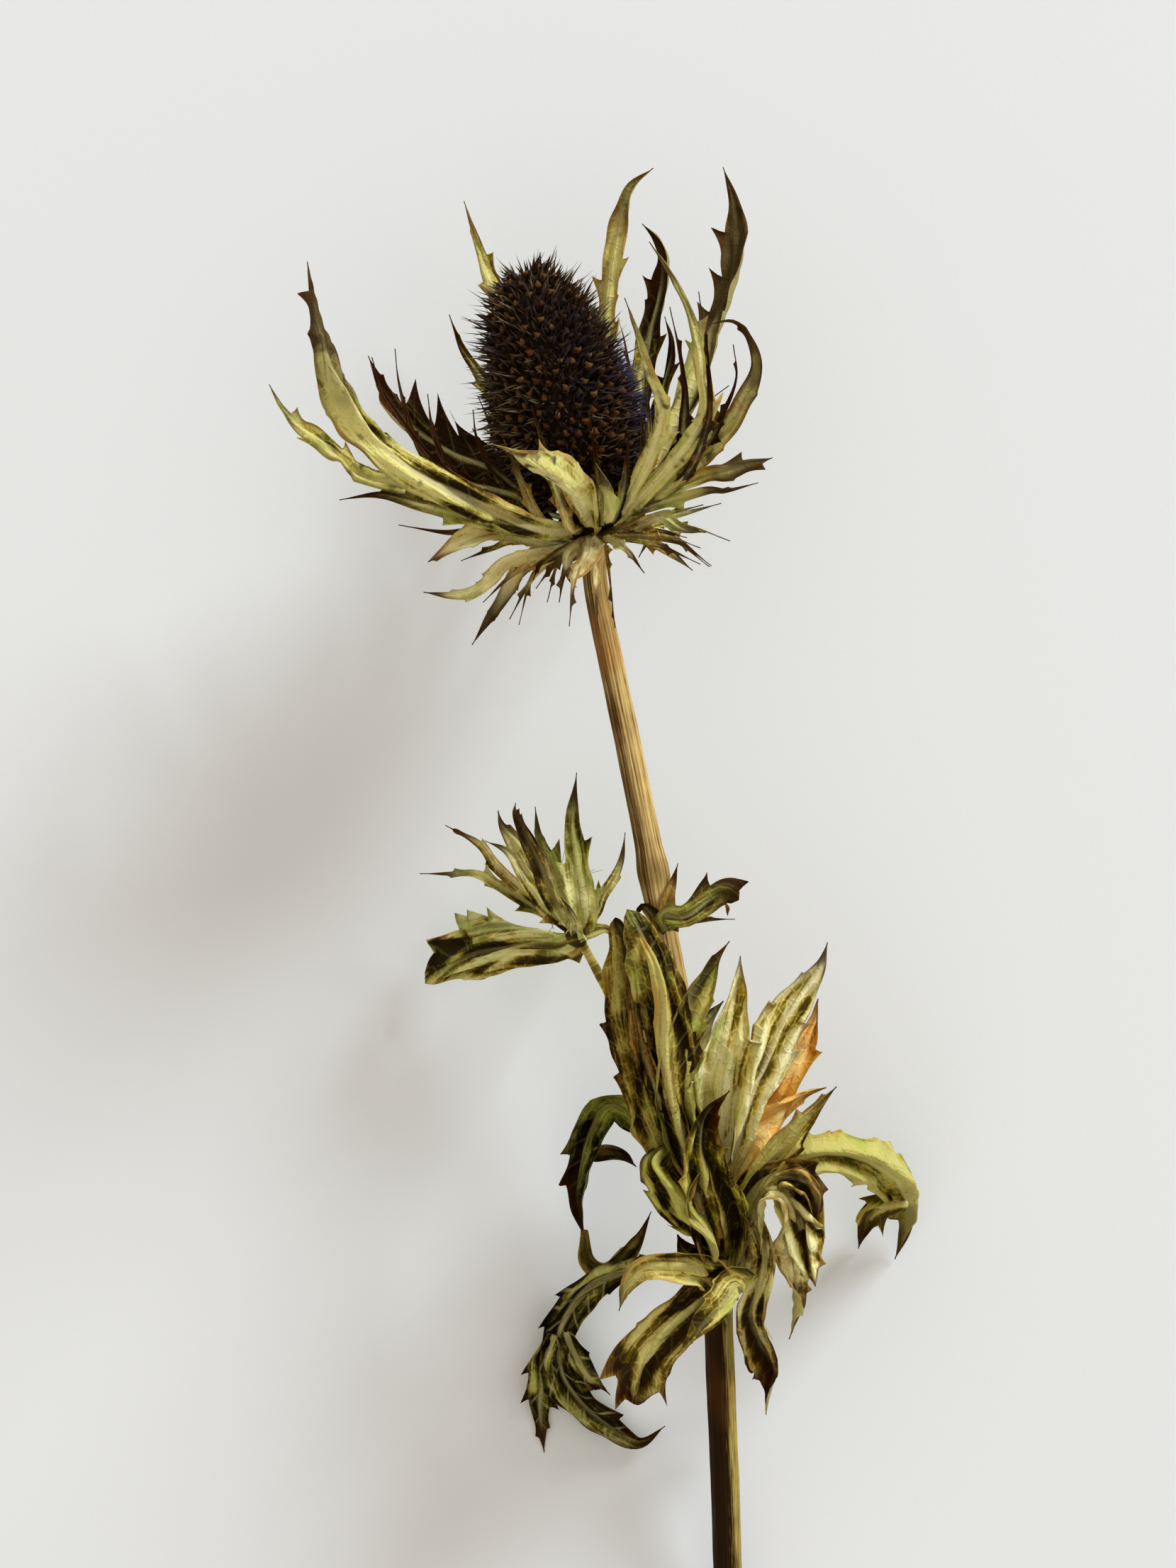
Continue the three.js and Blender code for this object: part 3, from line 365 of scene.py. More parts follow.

# %% [markdown]
# ## The bracts and leaves, one by one
# No rule gives these shapes: each blade is listed one by one, and its row holds what sets it apart
# from the default blade further down. `width` is its greatest width in mm, `belly` the share of
# its length where that lies, `root` the width of its foot as a share of it, `tip` how fast it
# narrows to its point, and `slim` scales its width as a whole. `fold` folds its two halves, in
# degrees. `folds` are deep creases of its own, `crumple` is how crumpled the rest of it is, and
# `twist` turns it along its length. `left` and `right` place its big teeth, as shares of its
# length, and `spine` is how far they stand out. `face` is the way its upper side looks. `tone`
# goes from -1, dark, to 1, pale, `hue` from -1, still green, to 1, rust, and `scorch` is how far
# its tip turned brown. `route` is the curve that it follows, and a `branch` starts on another
# lobe. Routes are counted from the point that a bunch grows on.

# %% Bracts of the ruff
RUFF_BRACTS = [
    dict(name="broad_left", width=5.6, belly=0.5, root=0.5, fold=-22, folds=[(0.2, 0.6, -1)], crumple=1,
         spine=2.4, left=[0.9], right=[0.5, 0.8], face=(0.45, -0.3, 0.85), tone=0.3, scorch=0.6,
         route=[(-7.5, -3, 10), (-17, 0.5, 16), (-26, 6.5, 18), (-31, 14, 16), (-33.5, 21.5, 11),
                (-35, 27, 6), (-36, 31.5, 2)]),
    # dark_left: its very dark tone is partly its own colour and partly painted shade of a bract that faces
    # away from the light
    dict(name="dark_left", width=5.4, belly=0.5, root=0.5, fold=20, spine=4.2, left=[0.8],
         right=[0.5, 0.62, 0.76], face=(0.5, -0.2, 0.85), tone=-0.9, scorch=0.5,
         route=[(-12, 4.5, 0), (-17.5, 7, -1), (-22, 10, -2), (-25, 13, -3), (-27, 16.5, -3),
                (-28.5, 20, -3)]),
    dict(name="low_left", width=3.2, belly=0.82, root=0.45, fold=20, spine=1.2, left=[0.8],
         right=[0.7, 0.88], face=(0.55, 0.1, 0.85), tone=0.2, scorch=0,
         route=[(-17.5, 1.5, 2), (-28.5, 4, 0), (-32, 6.5, -2), (-35, 9, -3), (-38, 11, -4),
                (-40, 13.5, -4), (-41.5, 16.5, -5)]),
    dict(name="short_left", width=3.2, belly=0.4, root=0.8, fold=15, spine=1.8, left=[0.55], right=[0.72],
         face=(0.3, 0, 1), tone=-0.1, scorch=0.5,
         route=[(-21.5, 0, 9), (-26.5, 1, 9), (-31.5, 0.5, 8)]),
    dict(name="front_pale", width=5.2, belly=0.6, root=0.6, fold=-25, spine=1.4, left=[0.6], right=[0.75],
         face=(-0.2, -0.6, 0.9), tone=0.9, hue=0.4, scorch=0.1,
         route=[(-2, 1.5, 14), (-7, 4, 24), (-11.5, 5.5, 30)]),
    dict(name="front_small", width=2.4, belly=0.4, fold=-20, face=(-0.2, -0.6, 1), tone=0.5, scorch=0.4,
         route=[(3, -0.5, 10), (2, 2, 16), (1, 4, 20)]),
    dict(name="rear_tall", width=3.8, belly=0.6, fold=20, spine=1.4, left=[0.78], right=[0.84],
         face=(0.2, 0, 1), tone=0.5, scorch=-0.1,
         route=[(-5, 14, -16), (-10.5, 27, -19), (-13, 32, -18), (-15, 37.5, -17), (-16.5, 42, -15)]),
    dict(name="rear_left", width=3.6, belly=0.5, fold=20, spine=1.4, left=[0.75], right=[0.6],
         face=(0.3, 0, 1), tone=-0.1,
         route=[(-7, 10, -16), (-12.5, 16.5, -19), (-15, 20, -19), (-17, 23, -18), (-18.5, 27, -16)]),
    dict(name="rest_left", width=3.8, belly=0.5, slim=0.3, fold=8, spine=1.6, left=[0.5, 0.7],
         right=[0.6, 0.8], face=(0.1, 0, 1), tone=-0.3, scorch=0.4,
         route=[(-6, 7.5, -21), (-10, 15.5, -28), (-11, 23, -29.5), (-12.5, 27, -30)]),
    dict(name="rest_mid", width=3.4, belly=0.5, slim=0.3, fold=12, spine=1.4, left=[0.6], right=[0.7],
         tone=-0.2, scorch=0.4,
         route=[(0.5, 9.5, -20), (-0.5, 17.5, -27), (-1, 25, -28.5), (-1.5, 29, -27.5)]),
    dict(name="rest_right", width=3.8, belly=0.5, slim=0.3, fold=8, spine=1.6, left=[0.5, 0.7],
         right=[0.6, 0.8], face=(-0.1, 0, 1), tone=-0.4, scorch=0.4,
         route=[(5, 9.5, -21), (6, 17.5, -28), (5, 25, -29.5), (4, 28.5, -30)]),
    dict(name="low_back_left", width=3.4, belly=0.5, slim=0.35, spine=1.5, left=[0.6], right=[0.7],
         face=(0.3, 0, 1), tone=-0.4, scorch=0.5,
         route=[(-7.5, 1, -12), (-14.5, 4, -18), (-18.5, 7.5, -20), (-21, 10, -19)]),
    dict(name="low_back_right", width=3.4, belly=0.5, slim=0.35, spine=1.5, left=[0.6], right=[0.7],
         face=(-0.3, 0, 1), tone=-0.3, scorch=0.5,
         route=[(8.5, 5, -13), (11.5, 10, -18), (12.5, 14.5, -19), (12, 19, -18)]),
    dict(name="tall_pale_right", width=3.4, belly=0.74, fold=20, spine=1.5, left=[0.66],
         right=[0.55, 0.72], face=(-0.5, 0, 0.85), tone=1, hue=0.1, scorch=0.2,
         route=[(3, 11, -3), (2.5, 18.5, -5), (2.5, 26, -6), (3.5, 33, -6), (4.5, 38.5, -5), (5.5, 42, -4),
                (8.5, 44.5, -4)]),
    dict(name="dark_lance_right", width=3.8, belly=0.72, fold=20, spine=1.4, left=[0.78], right=[0.6],
         face=(-0.5, 0, 0.85), tone=-0.9, scorch=0.6,
         route=[(7, 14.5, -1), (8, 21.5, -2), (9.5, 27.5, -3), (10, 32, -3), (9, 35, -3), (7, 37, -2)]),
    dict(name="blur_band_left", width=2.8, belly=0.4, fold=-20, spine=1.6, left=[0.6], right=[0.5],
         face=(-0.3, -0.5, 0.9), tone=1.3, hue=0.2,
         route=[(9, 9, 17), (7.5, 15.5, 21), (6, 20.5, 21), (4.5, 24.5, 20)]),
    dict(name="blur_band_right", width=3, fold=-20, left=[0.7], right=[0.55, 0.75], face=(-0.3, -0.5, 0.9),
         tone=1.4, hue=0.1,
         route=[(14, 9, 18), (14, 15.5, 22), (12.5, 22, 24), (10, 27, 24), (7.5, 31, 23)]),
    dict(name="tall_dark_right", width=4.2, belly=0.72, fold=20, spine=2.2, left=[0.6, 0.7, 0.82],
         right=[0.5], face=(-0.5, 0, 0.85), tone=0.7, hue=0.1, scorch=1.1,
         route=[(13, 14, 3), (15.5, 21.5, 1), (17.5, 26, -1), (19, 30.5, -2), (19.5, 35.5, -3),
                (19, 40, -3), (17.5, 44.5, -3)]),
    dict(name="loop_right", width=3.8, belly=0.34, root=0.6, fold=15, spine=3.2, left=[0.38, 0.56],
         face=(-0.2, -0.3, 1), tone=0.9, hue=0.1, scorch=0.6,
         route=[(16.5, 8, 13), (19.5, 12.5, 16), (21, 16.5, 17), (20, 20, 17), (18, 22, 17),
                (14.5, 21.5, 17)]),
    dict(name="low_right_a", width=2.4, belly=0.75, fold=15, spine=1.3, left=[0.8], right=[0.9],
         face=(-0.3, 0, 1), tone=0.7, scorch=0.6,
         route=[(14.5, 3.5, 6), (17.5, 4, 7), (20.5, 5, 7), (23.5, 6, 6)]),
    dict(name="low_right_b", width=1.8, belly=0.4, fold=15, spine=1.2, right=[0.5], face=(-0.3, 0, 1),
         tone=0.8, scorch=0.5,
         route=[(14.5, 1.5, 9), (17.5, 1.5, 10), (21.5, 2.5, 10)]),
    dict(name="small_right", width=2.8, belly=0.6, spine=1.6, left=[0.7], right=[0.75],
         face=(-0.4, 0, 0.9), tone=-0.5, scorch=0.6,
         route=[(10, 15.5, -5), (11, 21.5, -6), (10, 25.5, -6)]),
]
print("the ruff:", ", ".join(bract["name"] for bract in RUFF_BRACTS))

# %% Bracts of the collar
COLLAR_BRACTS = [
    dict(width=1.3, belly=0.3, spine=1, left=[0.35], scorch=0.6,
         route=[(-14, -3, 0), (-18.5, -3, -1), (-24.5, -2, -2)]),
    dict(width=3.2, belly=0.6, spine=1, left=[0.7], right=[0.55], tone=0.6, scorch=0.1,
         route=[(-11.5, -3, 3), (-16, -4.5, 4), (-19.5, -6.5, 3), (-20.5, -7, 2)]),
    dict(width=1.4, belly=0.3, spine=1, right=[0.5], tone=-0.1, scorch=0.5,
         route=[(-9.5, -4, -2), (-12.5, -5, -3), (-16.5, -6.5, -4)]),
    dict(width=1.9, belly=0.6, spine=1, left=[0.75], right=[0.6], tone=0.6, scorch=0.2,
         route=[(-10, -7, 4), (-12.5, -9.5, 5), (-14.5, -11, 5), (-17.5, -11.5, 5), (-21, -11, 4)]),
    dict(width=1.8, belly=0.6, spine=1.2, left=[0.45], scorch=0.6,
         route=[(-8, -6.5, 0), (-10.5, -11, -1), (-13, -14.5, -1), (-15, -17.5, -2)]),
    dict(width=1.3, belly=0.3, tone=-0.6, scorch=0.4,
         route=[(-5.5, -7, 4), (-6.5, -8, 4), (-7, -9.5, 4)]),
    dict(width=2.2, belly=0.3, root=0.8, tone=0.4, scorch=0.5,
         route=[(-2.5, -6.5, 6), (-2.5, -9, 7), (-1.5, -10.5, 6)]),
    dict(name="flap", width=2.6, belly=0.6, root=0.6, tip=0.5, slim=1.1, tone=1.9, hue=0.3, scorch=-1,
         route=[(0.5, -6.5, 8), (-1, -8.5, 9), (-2.5, -9.5, 9)]),
    dict(width=1.7, belly=0.6, spine=1, left=[0.6], right=[0.7], tone=0.3,
         route=[(9, -1.5, 4), (12, -3, 5), (15, -3.5, 6)]),
    dict(width=1.4, belly=0.5, spine=1, right=[0.5], tone=0.1, scorch=0.6,
         route=[(8.5, -4.5, 0), (11, -6, 0), (13.5, -8, 0)]),
    dict(width=1.2, belly=0.3, tone=0.3, scorch=0.5,
         route=[(7.5, -4, 3), (6.5, -6.5, 3), (3.5, -9, 2)]),
]
print(len(COLLAR_BRACTS), "bracts in the collar")

# %% Blades of the side shoot and the strap leaf
SHOOT_BLADES = [
    dict(width=1.9, belly=0.3, spine=1.2, left=[0.35], right=[0.62], tone=0.2, scorch=0.2,
         route=[(-3.5, 2.5, -2), (-7, 4.5, -3), (-10.5, 6.5, -3), (-13.5, 8, -4), (-16.5, 8, -4),
                (-21, 8, -4)]),
    dict(width=1.9, belly=0.5, spine=1.2, right=[0.75], tone=0.1, scorch=0.2,
         route=[(-3.5, 3.5, 1), (-7, 6, 0), (-10.5, 9, -1), (-13, 12, -2), (-17.5, 14.5, -2)]),
    dict(width=2.5, belly=0.45, spine=1.2, left=[0.3], right=[0.75], tone=-0.1, hue=-0.6,
         route=[(-4, 4, 5), (-6.5, 7.5, 6), (-9, 11, 5), (-12, 12.5, 4)]),
    dict(width=3.2, belly=0.6, spine=1, right=[0.7], face=(0.3, 0, 1), tone=0.2, hue=-0.3, scorch=0.2,
         route=[(-3.5, 4.5, -2), (-6, 9, -2), (-8.5, 12.5, -2), (-10, 14.5, -2), (-10.5, 16.5, -2)]),
    dict(width=2.6, belly=0.6, spine=1.2, right=[0.6], face=(-0.2, 0, 1), tone=-0.1, hue=-0.2, scorch=0.7,
         route=[(-3, 5, 9), (-4.5, 9, 10), (-6.5, 13, 9), (-8, 16, 7), (-8, 17.5, 5)]),
    dict(width=2.6, spine=2.4, right=[0.62], tone=0.1, hue=-0.4, scorch=0.4,
         route=[(-2, 6, 3), (-3.5, 9.5, 3), (-5, 13, 2), (-5.5, 17, 1)]),
    dict(width=3.8, spine=1.6, left=[0.5], right=[0.35, 0.6], tone=0.3, hue=-0.5, scorch=0.4,
         route=[(1, 2, 5), (0.5, 6, 6), (0, 10.5, 6), (-0.5, 15.5, 5), (0, 21.5, 3)]),
    dict(width=1.5, belly=0.5, spine=1.6, left=[0.45], scorch=0.5,
         route=[(2.5, 2.5, -3), (3.5, 5, -4), (5, 7.5, -5), (6, 10, -6), (6.5, 13.5, -6)]),
    dict(width=6.2, belly=0.62, root=0.12, tip=0.5, slim=1.15, fold=-14, folds=[(0.35, -0.6, 0.7, 0.4),
         (0.05, -0.9, -1, 0.5), (-0.15, -1, 0.9, 0.35), (-0.4, -1, -0.9, 0.5), (-0.6, -0.9, 0.7, 0.35)],
         crumple=1.2, spine=3.6, left=[0.14], right=[0.5, 0.61, 0.66, 0.84], hue=-0.8, scorch=-0.3,
         route=[(-2.5, -1.5, -3), (-6.5, -1.5, -3), (-10.5, -2, -4), (-14, -3, -6), (-17, -4.5, -8),
                (-20.5, -7, -10)]),
    dict(width=2.2, belly=0.4, spine=1.2, left=[0.5], right=[0.5], face=(0, -0.4, 1), tone=0.4, hue=-0.6,
         route=[(0, 2, 11), (-1, 4, 13), (-2, 5.5, 15)]),
    dict(width=2, belly=0.4, tone=0.2,
         route=[(1.5, 0.5, 4), (4, 1, 5), (5, -0.5, 3)]),
]

STRAP_BLADES = [
    dict(name="strap", width=3.2, belly=0.72, root=0.5, tip=0.35, fold=12, spine=1.8, left=[0.7, 0.9],
         right=[0.88], tone=-0.1, hue=-0.5, scorch=0.6,
         route=[(1.5, -5.5, 4.5), (4, -5.5, 6), (7, -3.5, 6), (9, -2.5, 5), (11, -3.5, 4)]),
    dict(name="strap_spine", width=1, belly=0.2, tone=-0.1, scorch=0.5,
         route=[(3.5, -6.5, 5), (7, -6, 5), (10.5, -6, 4)]),
    dict(name="sheath_right", width=2.4, belly=0.2, root=0.9, fold=30, tone=0.1, hue=1.2, scorch=0.6,
         route=[(2, -3.4, 1.6), (2.6, -1.2, 1.5), (3.2, 1.2, 1.4)]),
    dict(name="sheath_left", width=2.2, belly=0.2, root=0.9, fold=30, tone=-0.6, hue=0.8, scorch=0.9,
         route=[(-1.2, -4.4, 1.6), (-1.9, -5, 1.2), (-2.6, -6.2, 0.8)]),
]
print(len(SHOOT_BLADES), "blades on the side shoot")
print("round the upper joint:", ", ".join(blade["name"] for blade in STRAP_BLADES))

# %% Leaves of the lower joint
LEAVES = {}
LEAVES["leaf_front"] = dict(around=-40, along=3, lobes=[
    dict(name="left", width=5.6, belly=0.5, root=0.25, tip=0.5, slim=1.35, fold=25,
         folds=[(0.35, -0.3, -1.3), (-0.3, 0.2, 0.7)], spine=1.3, left=[0.42, 0.56, 0.7],
         face=(-0.25, 0, 1), tone=-0.35, hue=0.3, scorch=-0.1,
         route=[(-4.5, 9.5, 9), (-8, 16.5, 14), (-10, 23.5, 17), (-11.5, 29.5, 18), (-12, 35, 19),
                (-12.5, 39, 19), (-13.5, 42, 18)]),
    dict(name="middle", width=5.8, belly=0.5, root=0.3, tip=0.38, slim=1.4, fold=-25,
         folds=[(-0.35, 0.3, -1.5), (0.4, -0.2, -1.2), (0, 0.1, 0.9)], spine=1.2, tone=-0.05, hue=0.1,
         scorch=-0.2,
         route=[(-4, 10.5, 12), (-6.5, 19.5, 18), (-7, 27.5, 22), (-8, 33.5, 23), (-9.5, 38.5, 23),
                (-11, 41.5, 21), (-12, 43, 18)]),
    dict(name="right", width=4.6, belly=0.6, root=0.3, slim=1.25, fold=20, folds=[(-0.3, 0.3, -1.1)],
         spine=1.3, left=[0.84], right=[0.6, 0.74], face=(0.3, 0, 1), tone=0.35, hue=-0.3, scorch=0.2,
         route=[(-4, 10, 10), (-6, 18, 15), (-6.5, 25, 19), (-5, 29.5, 20), (-3, 33, 20), (-1, 36.5, 19),
                (1, 39, 18)]),
    dict(name="bent_rib", width=2.6, belly=0.5, root=0.3, fold=-35, tone=0.9, hue=0.1, scorch=-0.3,
         branch=True,
         route=[(-6, 17, 17.5), (-7.2, 24, 22.5), (-7.6, 31, 24.5), (-9, 37, 24.5), (-11.5, 41.5, 21)]),
    dict(name="side_pleat", width=2.6, belly=0.5, root=0.3, fold=30, tone=-0.4, hue=0.5, scorch=0.2,
         branch=True,
         route=[(-5.5, 13, 12), (-8.5, 20, 17.5), (-10.5, 27, 19.5), (-11.2, 33, 20.5), (-11, 38, 20.5)]),
])
LEAVES["leaf_pale_right"] = dict(around=15, along=4, lobes=[
    dict(name="middle", width=6.6, belly=0.55, root=0.25, slim=1.15, fold=25,
         folds=[(-0.4, 0.2, -1.2), (0.45, -0.3, -1)], spine=1.8, left=[0.55, 0.75], right=[0.7], tone=0.6,
         hue=-0.5, scorch=0,
         route=[(-0.5, 9.5, 7), (-0.5, 17.5, 12), (0.5, 25, 15), (2, 31.5, 16), (2.5, 37, 15)]),
    dict(name="right", width=6.4, belly=0.6, root=0.22, fold=-20, folds=[(0.1, 0.5, -0.7), (-0.5, 0, 0.8)],
         spine=1.7, left=[0.72, 0.86], right=[0.48, 0.6, 0.72], face=(0.25, 0, 1), tone=0.15, hue=-0.4,
         route=[(1.5, 8.5, 6), (3.5, 15.5, 11), (6, 22.5, 13), (8, 28, 13), (11, 32.5, 12), (13, 35.5, 11),
                (14, 38.5, 10)]),
    dict(name="fold", width=5.4, belly=0.6, root=0.28, slim=1.3, fold=28, spine=1.4, left=[0.6],
         face=(-0.4, -0.2, 1), tone=0.1, hue=-0.6, scorch=0.1,
         route=[(-2.5, 8.5, 4), (-4, 16.5, 8), (-3.5, 24, 10), (-1.5, 28.5, 11), (0.5, 31, 11)]),
])
LEAVES["leaf_orange"] = dict(around=62, along=3, lobes=[
    dict(name="upper", width=3.8, belly=0.7, root=0.3, slim=1.15, fold=20, spine=1.4, left=[0.68],
         right=[0.78], face=(0.4, 0, 1), tone=0.5, hue=1.4, scorch=0.2,
         route=[(3.5, 9, 2), (6, 16, 5), (8.5, 21, 7), (11.5, 26.5, 7), (13, 31, 6)]),
    dict(name="lower", width=4.4, belly=0.55, root=0.3, slim=1.15, fold=20, spine=1.2, left=[0.7, 0.85],
         right=[0.6], face=(0.2, -0.2, 1), tone=1, hue=0.8, scorch=0.1,
         route=[(1.5, 8.5, 4), (3, 13.5, 8), (6.5, 16, 9), (10.5, 18.5, 8), (14, 19.5, 7)]),
])
LEAVES["leaf_right"] = dict(around=80, along=-2, lobes=[
    dict(name="upright", width=3.8, belly=0.55, root=0.3, slim=1.15, fold=20, spine=1.2, left=[0.8],
         right=[0.7], face=(0.1, 0, 1), tone=0.2, scorch=0.2,
         route=[(3.5, 5, 7), (6.5, 10, 11), (10, 14.5, 13), (12.5, 17.5, 13), (15, 20, 12)]),
    dict(name="curling", width=5.8, belly=0.62, root=0.28, slim=1.1, fold=-15,
         folds=[(0.3, 0.3, -1), (-0.35, 0.2, 0.8)], spine=1.9, left=[0.62, 0.7, 0.79], right=[0.55, 0.86],
         face=(0.2, -0.1, 1), tone=0.5, scorch=0.2,
         route=[(5.5, 8, 7), (11.5, 10.5, 9), (16, 10.5, 7), (21, 8.5, 2), (25, 5, -6), (26.5, 0, -13),
                (25, -6, -17.5)]),
    dict(name="hook", width=3.4, belly=0.4, root=0.6, fold=10, spine=1.5, left=[0.5], right=[0.35],
         tone=-0.5, scorch=0.5, branch=True,
         route=[(25.5, 3, -5), (23, 2.5, -8), (21, 0, -13), (20, -4.5, -17.5)]),
])
LEAVES["leaf_hanging"] = dict(around=100, along=-6, lobes=[
    dict(name="ribbon", width=3.8, belly=0.75, root=0.7, slim=1.1, fold=24, folds=[(0.6, 0, 1, 0.4)],
         twist=70, spine=1.4, left=[0.62], right=[0.7, 0.86], face=(0.3, 0, 1), tone=-0.45, hue=0.1,
         scorch=0.6,
         route=[(4.5, 1.5, 6), (6, -2, 8), (5.5, -6.5, 5), (4.5, -11.5, 1), (6, -16, -3), (7.5, -19.5, -6),
                (7, -26, -10)]),
    dict(name="drooping", width=4.6, belly=0.4, root=0.5, slim=1.5, fold=20,
         folds=[(-0.2, 0.8, -1.3), (0.5, -0.5, 0.9)], twist=-60, spine=1.4, left=[0.7, 0.82],
         right=[0.4, 0.6], hue=0.3, scorch=0.2,
         route=[(5, 5.5, 10), (8, 6.8, 12.5), (9.5, 3.8, 11), (9.2, -1, 7), (10.5, -5.5, 2), (11, -10, -3),
                (10, -15.5, -8)]),
    dict(name="dark_crumple", width=4.6, belly=0.45, root=0.15, fold=12, crumple=1.8, spine=1,
         left=[0.5, 0.7], right=[0.5, 0.7], tone=-0.6, hue=0.8, scorch=0.6, branch=True,
         route=[(6, 7, 9.5), (8.6, 8.6, 12.5), (11, 7.6, 13), (12.2, 5, 12), (12, 3, 10.5)]),
    dict(name="pale_crumple", width=5, belly=0.5, root=0.12, fold=-12,
         folds=[(0, 0.8, -1.3, 0.5), (0.5, 0, 1, 0.4)], crumple=1.8, spine=1.2, left=[0.4, 0.8],
         right=[0.6, 0.85], tone=0.05, hue=0.1, scorch=0, branch=True,
         route=[(7, 6.5, 9), (9.2, 3.6, 12.5), (10.4, 0.4, 12.3), (11.6, -3, 10), (12.6, -6.4, 7)]),
])
LEAVES["leaf_folded"] = dict(around=-12, along=-5, lobes=[
    dict(name="fold", width=4.4, belly=0.72, root=0.3, tip=0.45, slim=1.35, fold=-14,
         folds=[(0.1, 0.1, 1.3, 0.4), (-0.35, 0.2, -1.1, 0.5), (-0.65, 0.3, 0.9, 0.35), (0.6, 0, -1, 0.5)],
         crumple=1.3, twist=-25, spine=1.4, left=[0.35, 0.55, 0.75, 0.86], right=[0.5, 0.9], tone=0.15,
         scorch=0.1,
         route=[(-1.5, 1, 12), (-4.5, 4.5, 15), (-7.5, 8.5, 16), (-8.5, 10.5, 15), (-7, 12.5, 13)]),
    dict(name="under_fold", width=4.2, belly=0.45, fold=15, crumple=1.1, spine=1, left=[0.6], tone=-1,
         hue=0.2, branch=True,
         route=[(1, -3, 9.5), (-1.5, -2.8, 11), (-4.2, -1.5, 12), (-5.5, 1, 12)]),
    dict(name="inner", width=4.8, belly=0.5, slim=1.6, fold=22,
         folds=[(-0.4, 0.3, -1.4), (0.4, -0.2, -1.2), (0, 0, 0.8)], spine=1.2, left=[0.65], right=[0.75],
         hue=0.4, scorch=0.2,
         route=[(0.5, 2, 10), (-1.5, 7.5, 15), (-2.5, 12.5, 18), (-1.5, 17, 19), (1, 20, 18)]),
    dict(name="brown_crumple", width=5, belly=0.5, root=0.5, fold=28,
         folds=[(-0.3, 0.2, -1.2), (0.3, 0.2, -1), (0, 0, 0.9)], crumple=1.4, spine=1, left=[0.6],
         right=[0.5], tone=-0.3, hue=0.8, scorch=0.4, branch=True,
         route=[(-0.5, -2, 10.5), (-2, 2.5, 14.5), (-2.8, 7, 16.5), (-1.6, 11, 16.5)]),
])
LEAVES["leaf_lower_left"] = dict(around=25, along=-9, lobes=[
    dict(name="curl", width=4.2, belly=0.45, slim=1.15, fold=25, spine=1.2, left=[0.7], right=[0.6],
         tone=0.35, hue=0.3, scorch=0.1,
         route=[(-1.5, -4, 10), (-5.5, -3, 14), (-9.5, -3, 15), (-12, -5.5, 14), (-13, -9, 11)]),
    dict(name="broad", width=6.2, belly=0.72, root=0.3, tip=0.7, slim=1.15, fold=15,
         folds=[(-0.3, 0, -0.8), (0.4, 0.2, -0.6), (0.05, 0.1, 0.8)], spine=2.2, left=[0.85],
         right=[0.78, 0.9], tone=-0.1, scorch=0.15,
         route=[(0, -6.5, 7), (-3.5, -9, 10), (-6.5, -11.5, 11), (-9.5, -15, 10), (-10.5, -18.5, 8),
                (-10.5, -22, 6)]),
    dict(name="pale", width=4.6, belly=0.45, root=0.45, slim=1.2, fold=-22, folds=[(0.2, 0.4, -1)],
         spine=1.2, left=[0.6], tone=0.25, hue=-0.2, scorch=0,
         route=[(2, -6, 11), (-0.5, -8.5, 15), (-3, -11, 16), (-5.5, -14, 15)]),
])
LEAVES["leaf_dark_back"] = dict(around=-112, along=3, lobes=[
    dict(name="arch", width=4.8, belly=0.62, root=0.3, fold=20, spine=1.3, left=[0.5], right=[0.7, 0.8],
         face=(-0.2, 0, 1), tone=-0.6, hue=-0.5,
         route=[(-5, 7.5, -6), (-10, 14, -7), (-14, 16, -7), (-16.5, 12.5, -8), (-18, 7, -10),
                (-18.5, 2.5, -12), (-17.5, -2.5, -13.5)]),
    dict(name="tooth", width=2.2, belly=0.3, root=0.7, tone=-0.4, scorch=0.4, branch=True,
         route=[(-16.5, 9, -9), (-14, 9.5, -8), (-12, 9, -8), (-10.5, 7.5, -9)]),
    dict(name="hook", width=2.8, belly=0.45, root=0.35, spine=1.2, left=[0.4, 0.6], right=[0.5], tone=-0.1,
         scorch=0.4, branch=True,
         route=[(-17.5, -1.5, -13), (-17, -5.5, -14), (-14.5, -7, -13.5), (-12, -5, -12), (-10, -2, -10),
                (-8.5, 1.5, -9)]),
])
LEAVES["leaf_lying_left"] = dict(around=-85, along=-6, lobes=[
    dict(name="middle", width=5, belly=0.68, root=0.2, fold=12, spine=1.5, left=[0.6, 0.7, 0.82],
         right=[0.5, 0.42], tone=-0.55, scorch=0.2,
         route=[(-7, -5.5, -8), (-12.5, -7, -11), (-16.5, -9, -13), (-19.5, -12.5, -14), (-21, -16.5, -15),
                (-20.5, -21.5, -16), (-18, -25.5, -17), (-14.5, -28.5, -17), (-10, -31, -17),
                (-6.5, -28.5, -15.5)]),
    dict(name="low", width=3.6, belly=0.4, root=0.6, fold=10, spine=1.4, left=[0.6], right=[0.3, 0.5],
         tone=-0.6, scorch=0.4, branch=True,
         route=[(-21.5, -16, -14.5), (-23, -19.5, -15.5), (-23.5, -23.5, -16.5), (-23.5, -27.5, -17.5),
                (-23, -32.5, -18)]),
    dict(name="inner", width=3, belly=0.4, root=0.6, fold=15, spine=1.2, right=[0.5], tone=-0.6,
         branch=True,
         route=[(-20, -15.5, -14), (-19, -18, -14), (-17, -21, -14), (-14, -24, -14)]),
])
for name, leaf in LEAVES.items():
    print(name, "has the lobes", ", ".join(lobe["name"] for lobe in leaf["lobes"]))

# %% [markdown]
# ## Shader helpers
# Leaf, bark and florets are mixed from the same few things: one colour blended into another by a
# share, noise that is even or drawn out along the blade, and the marks that the mesh carries.

# %% Shader helpers
WHITE = (1.0, 1.0, 1.0, 1.0)


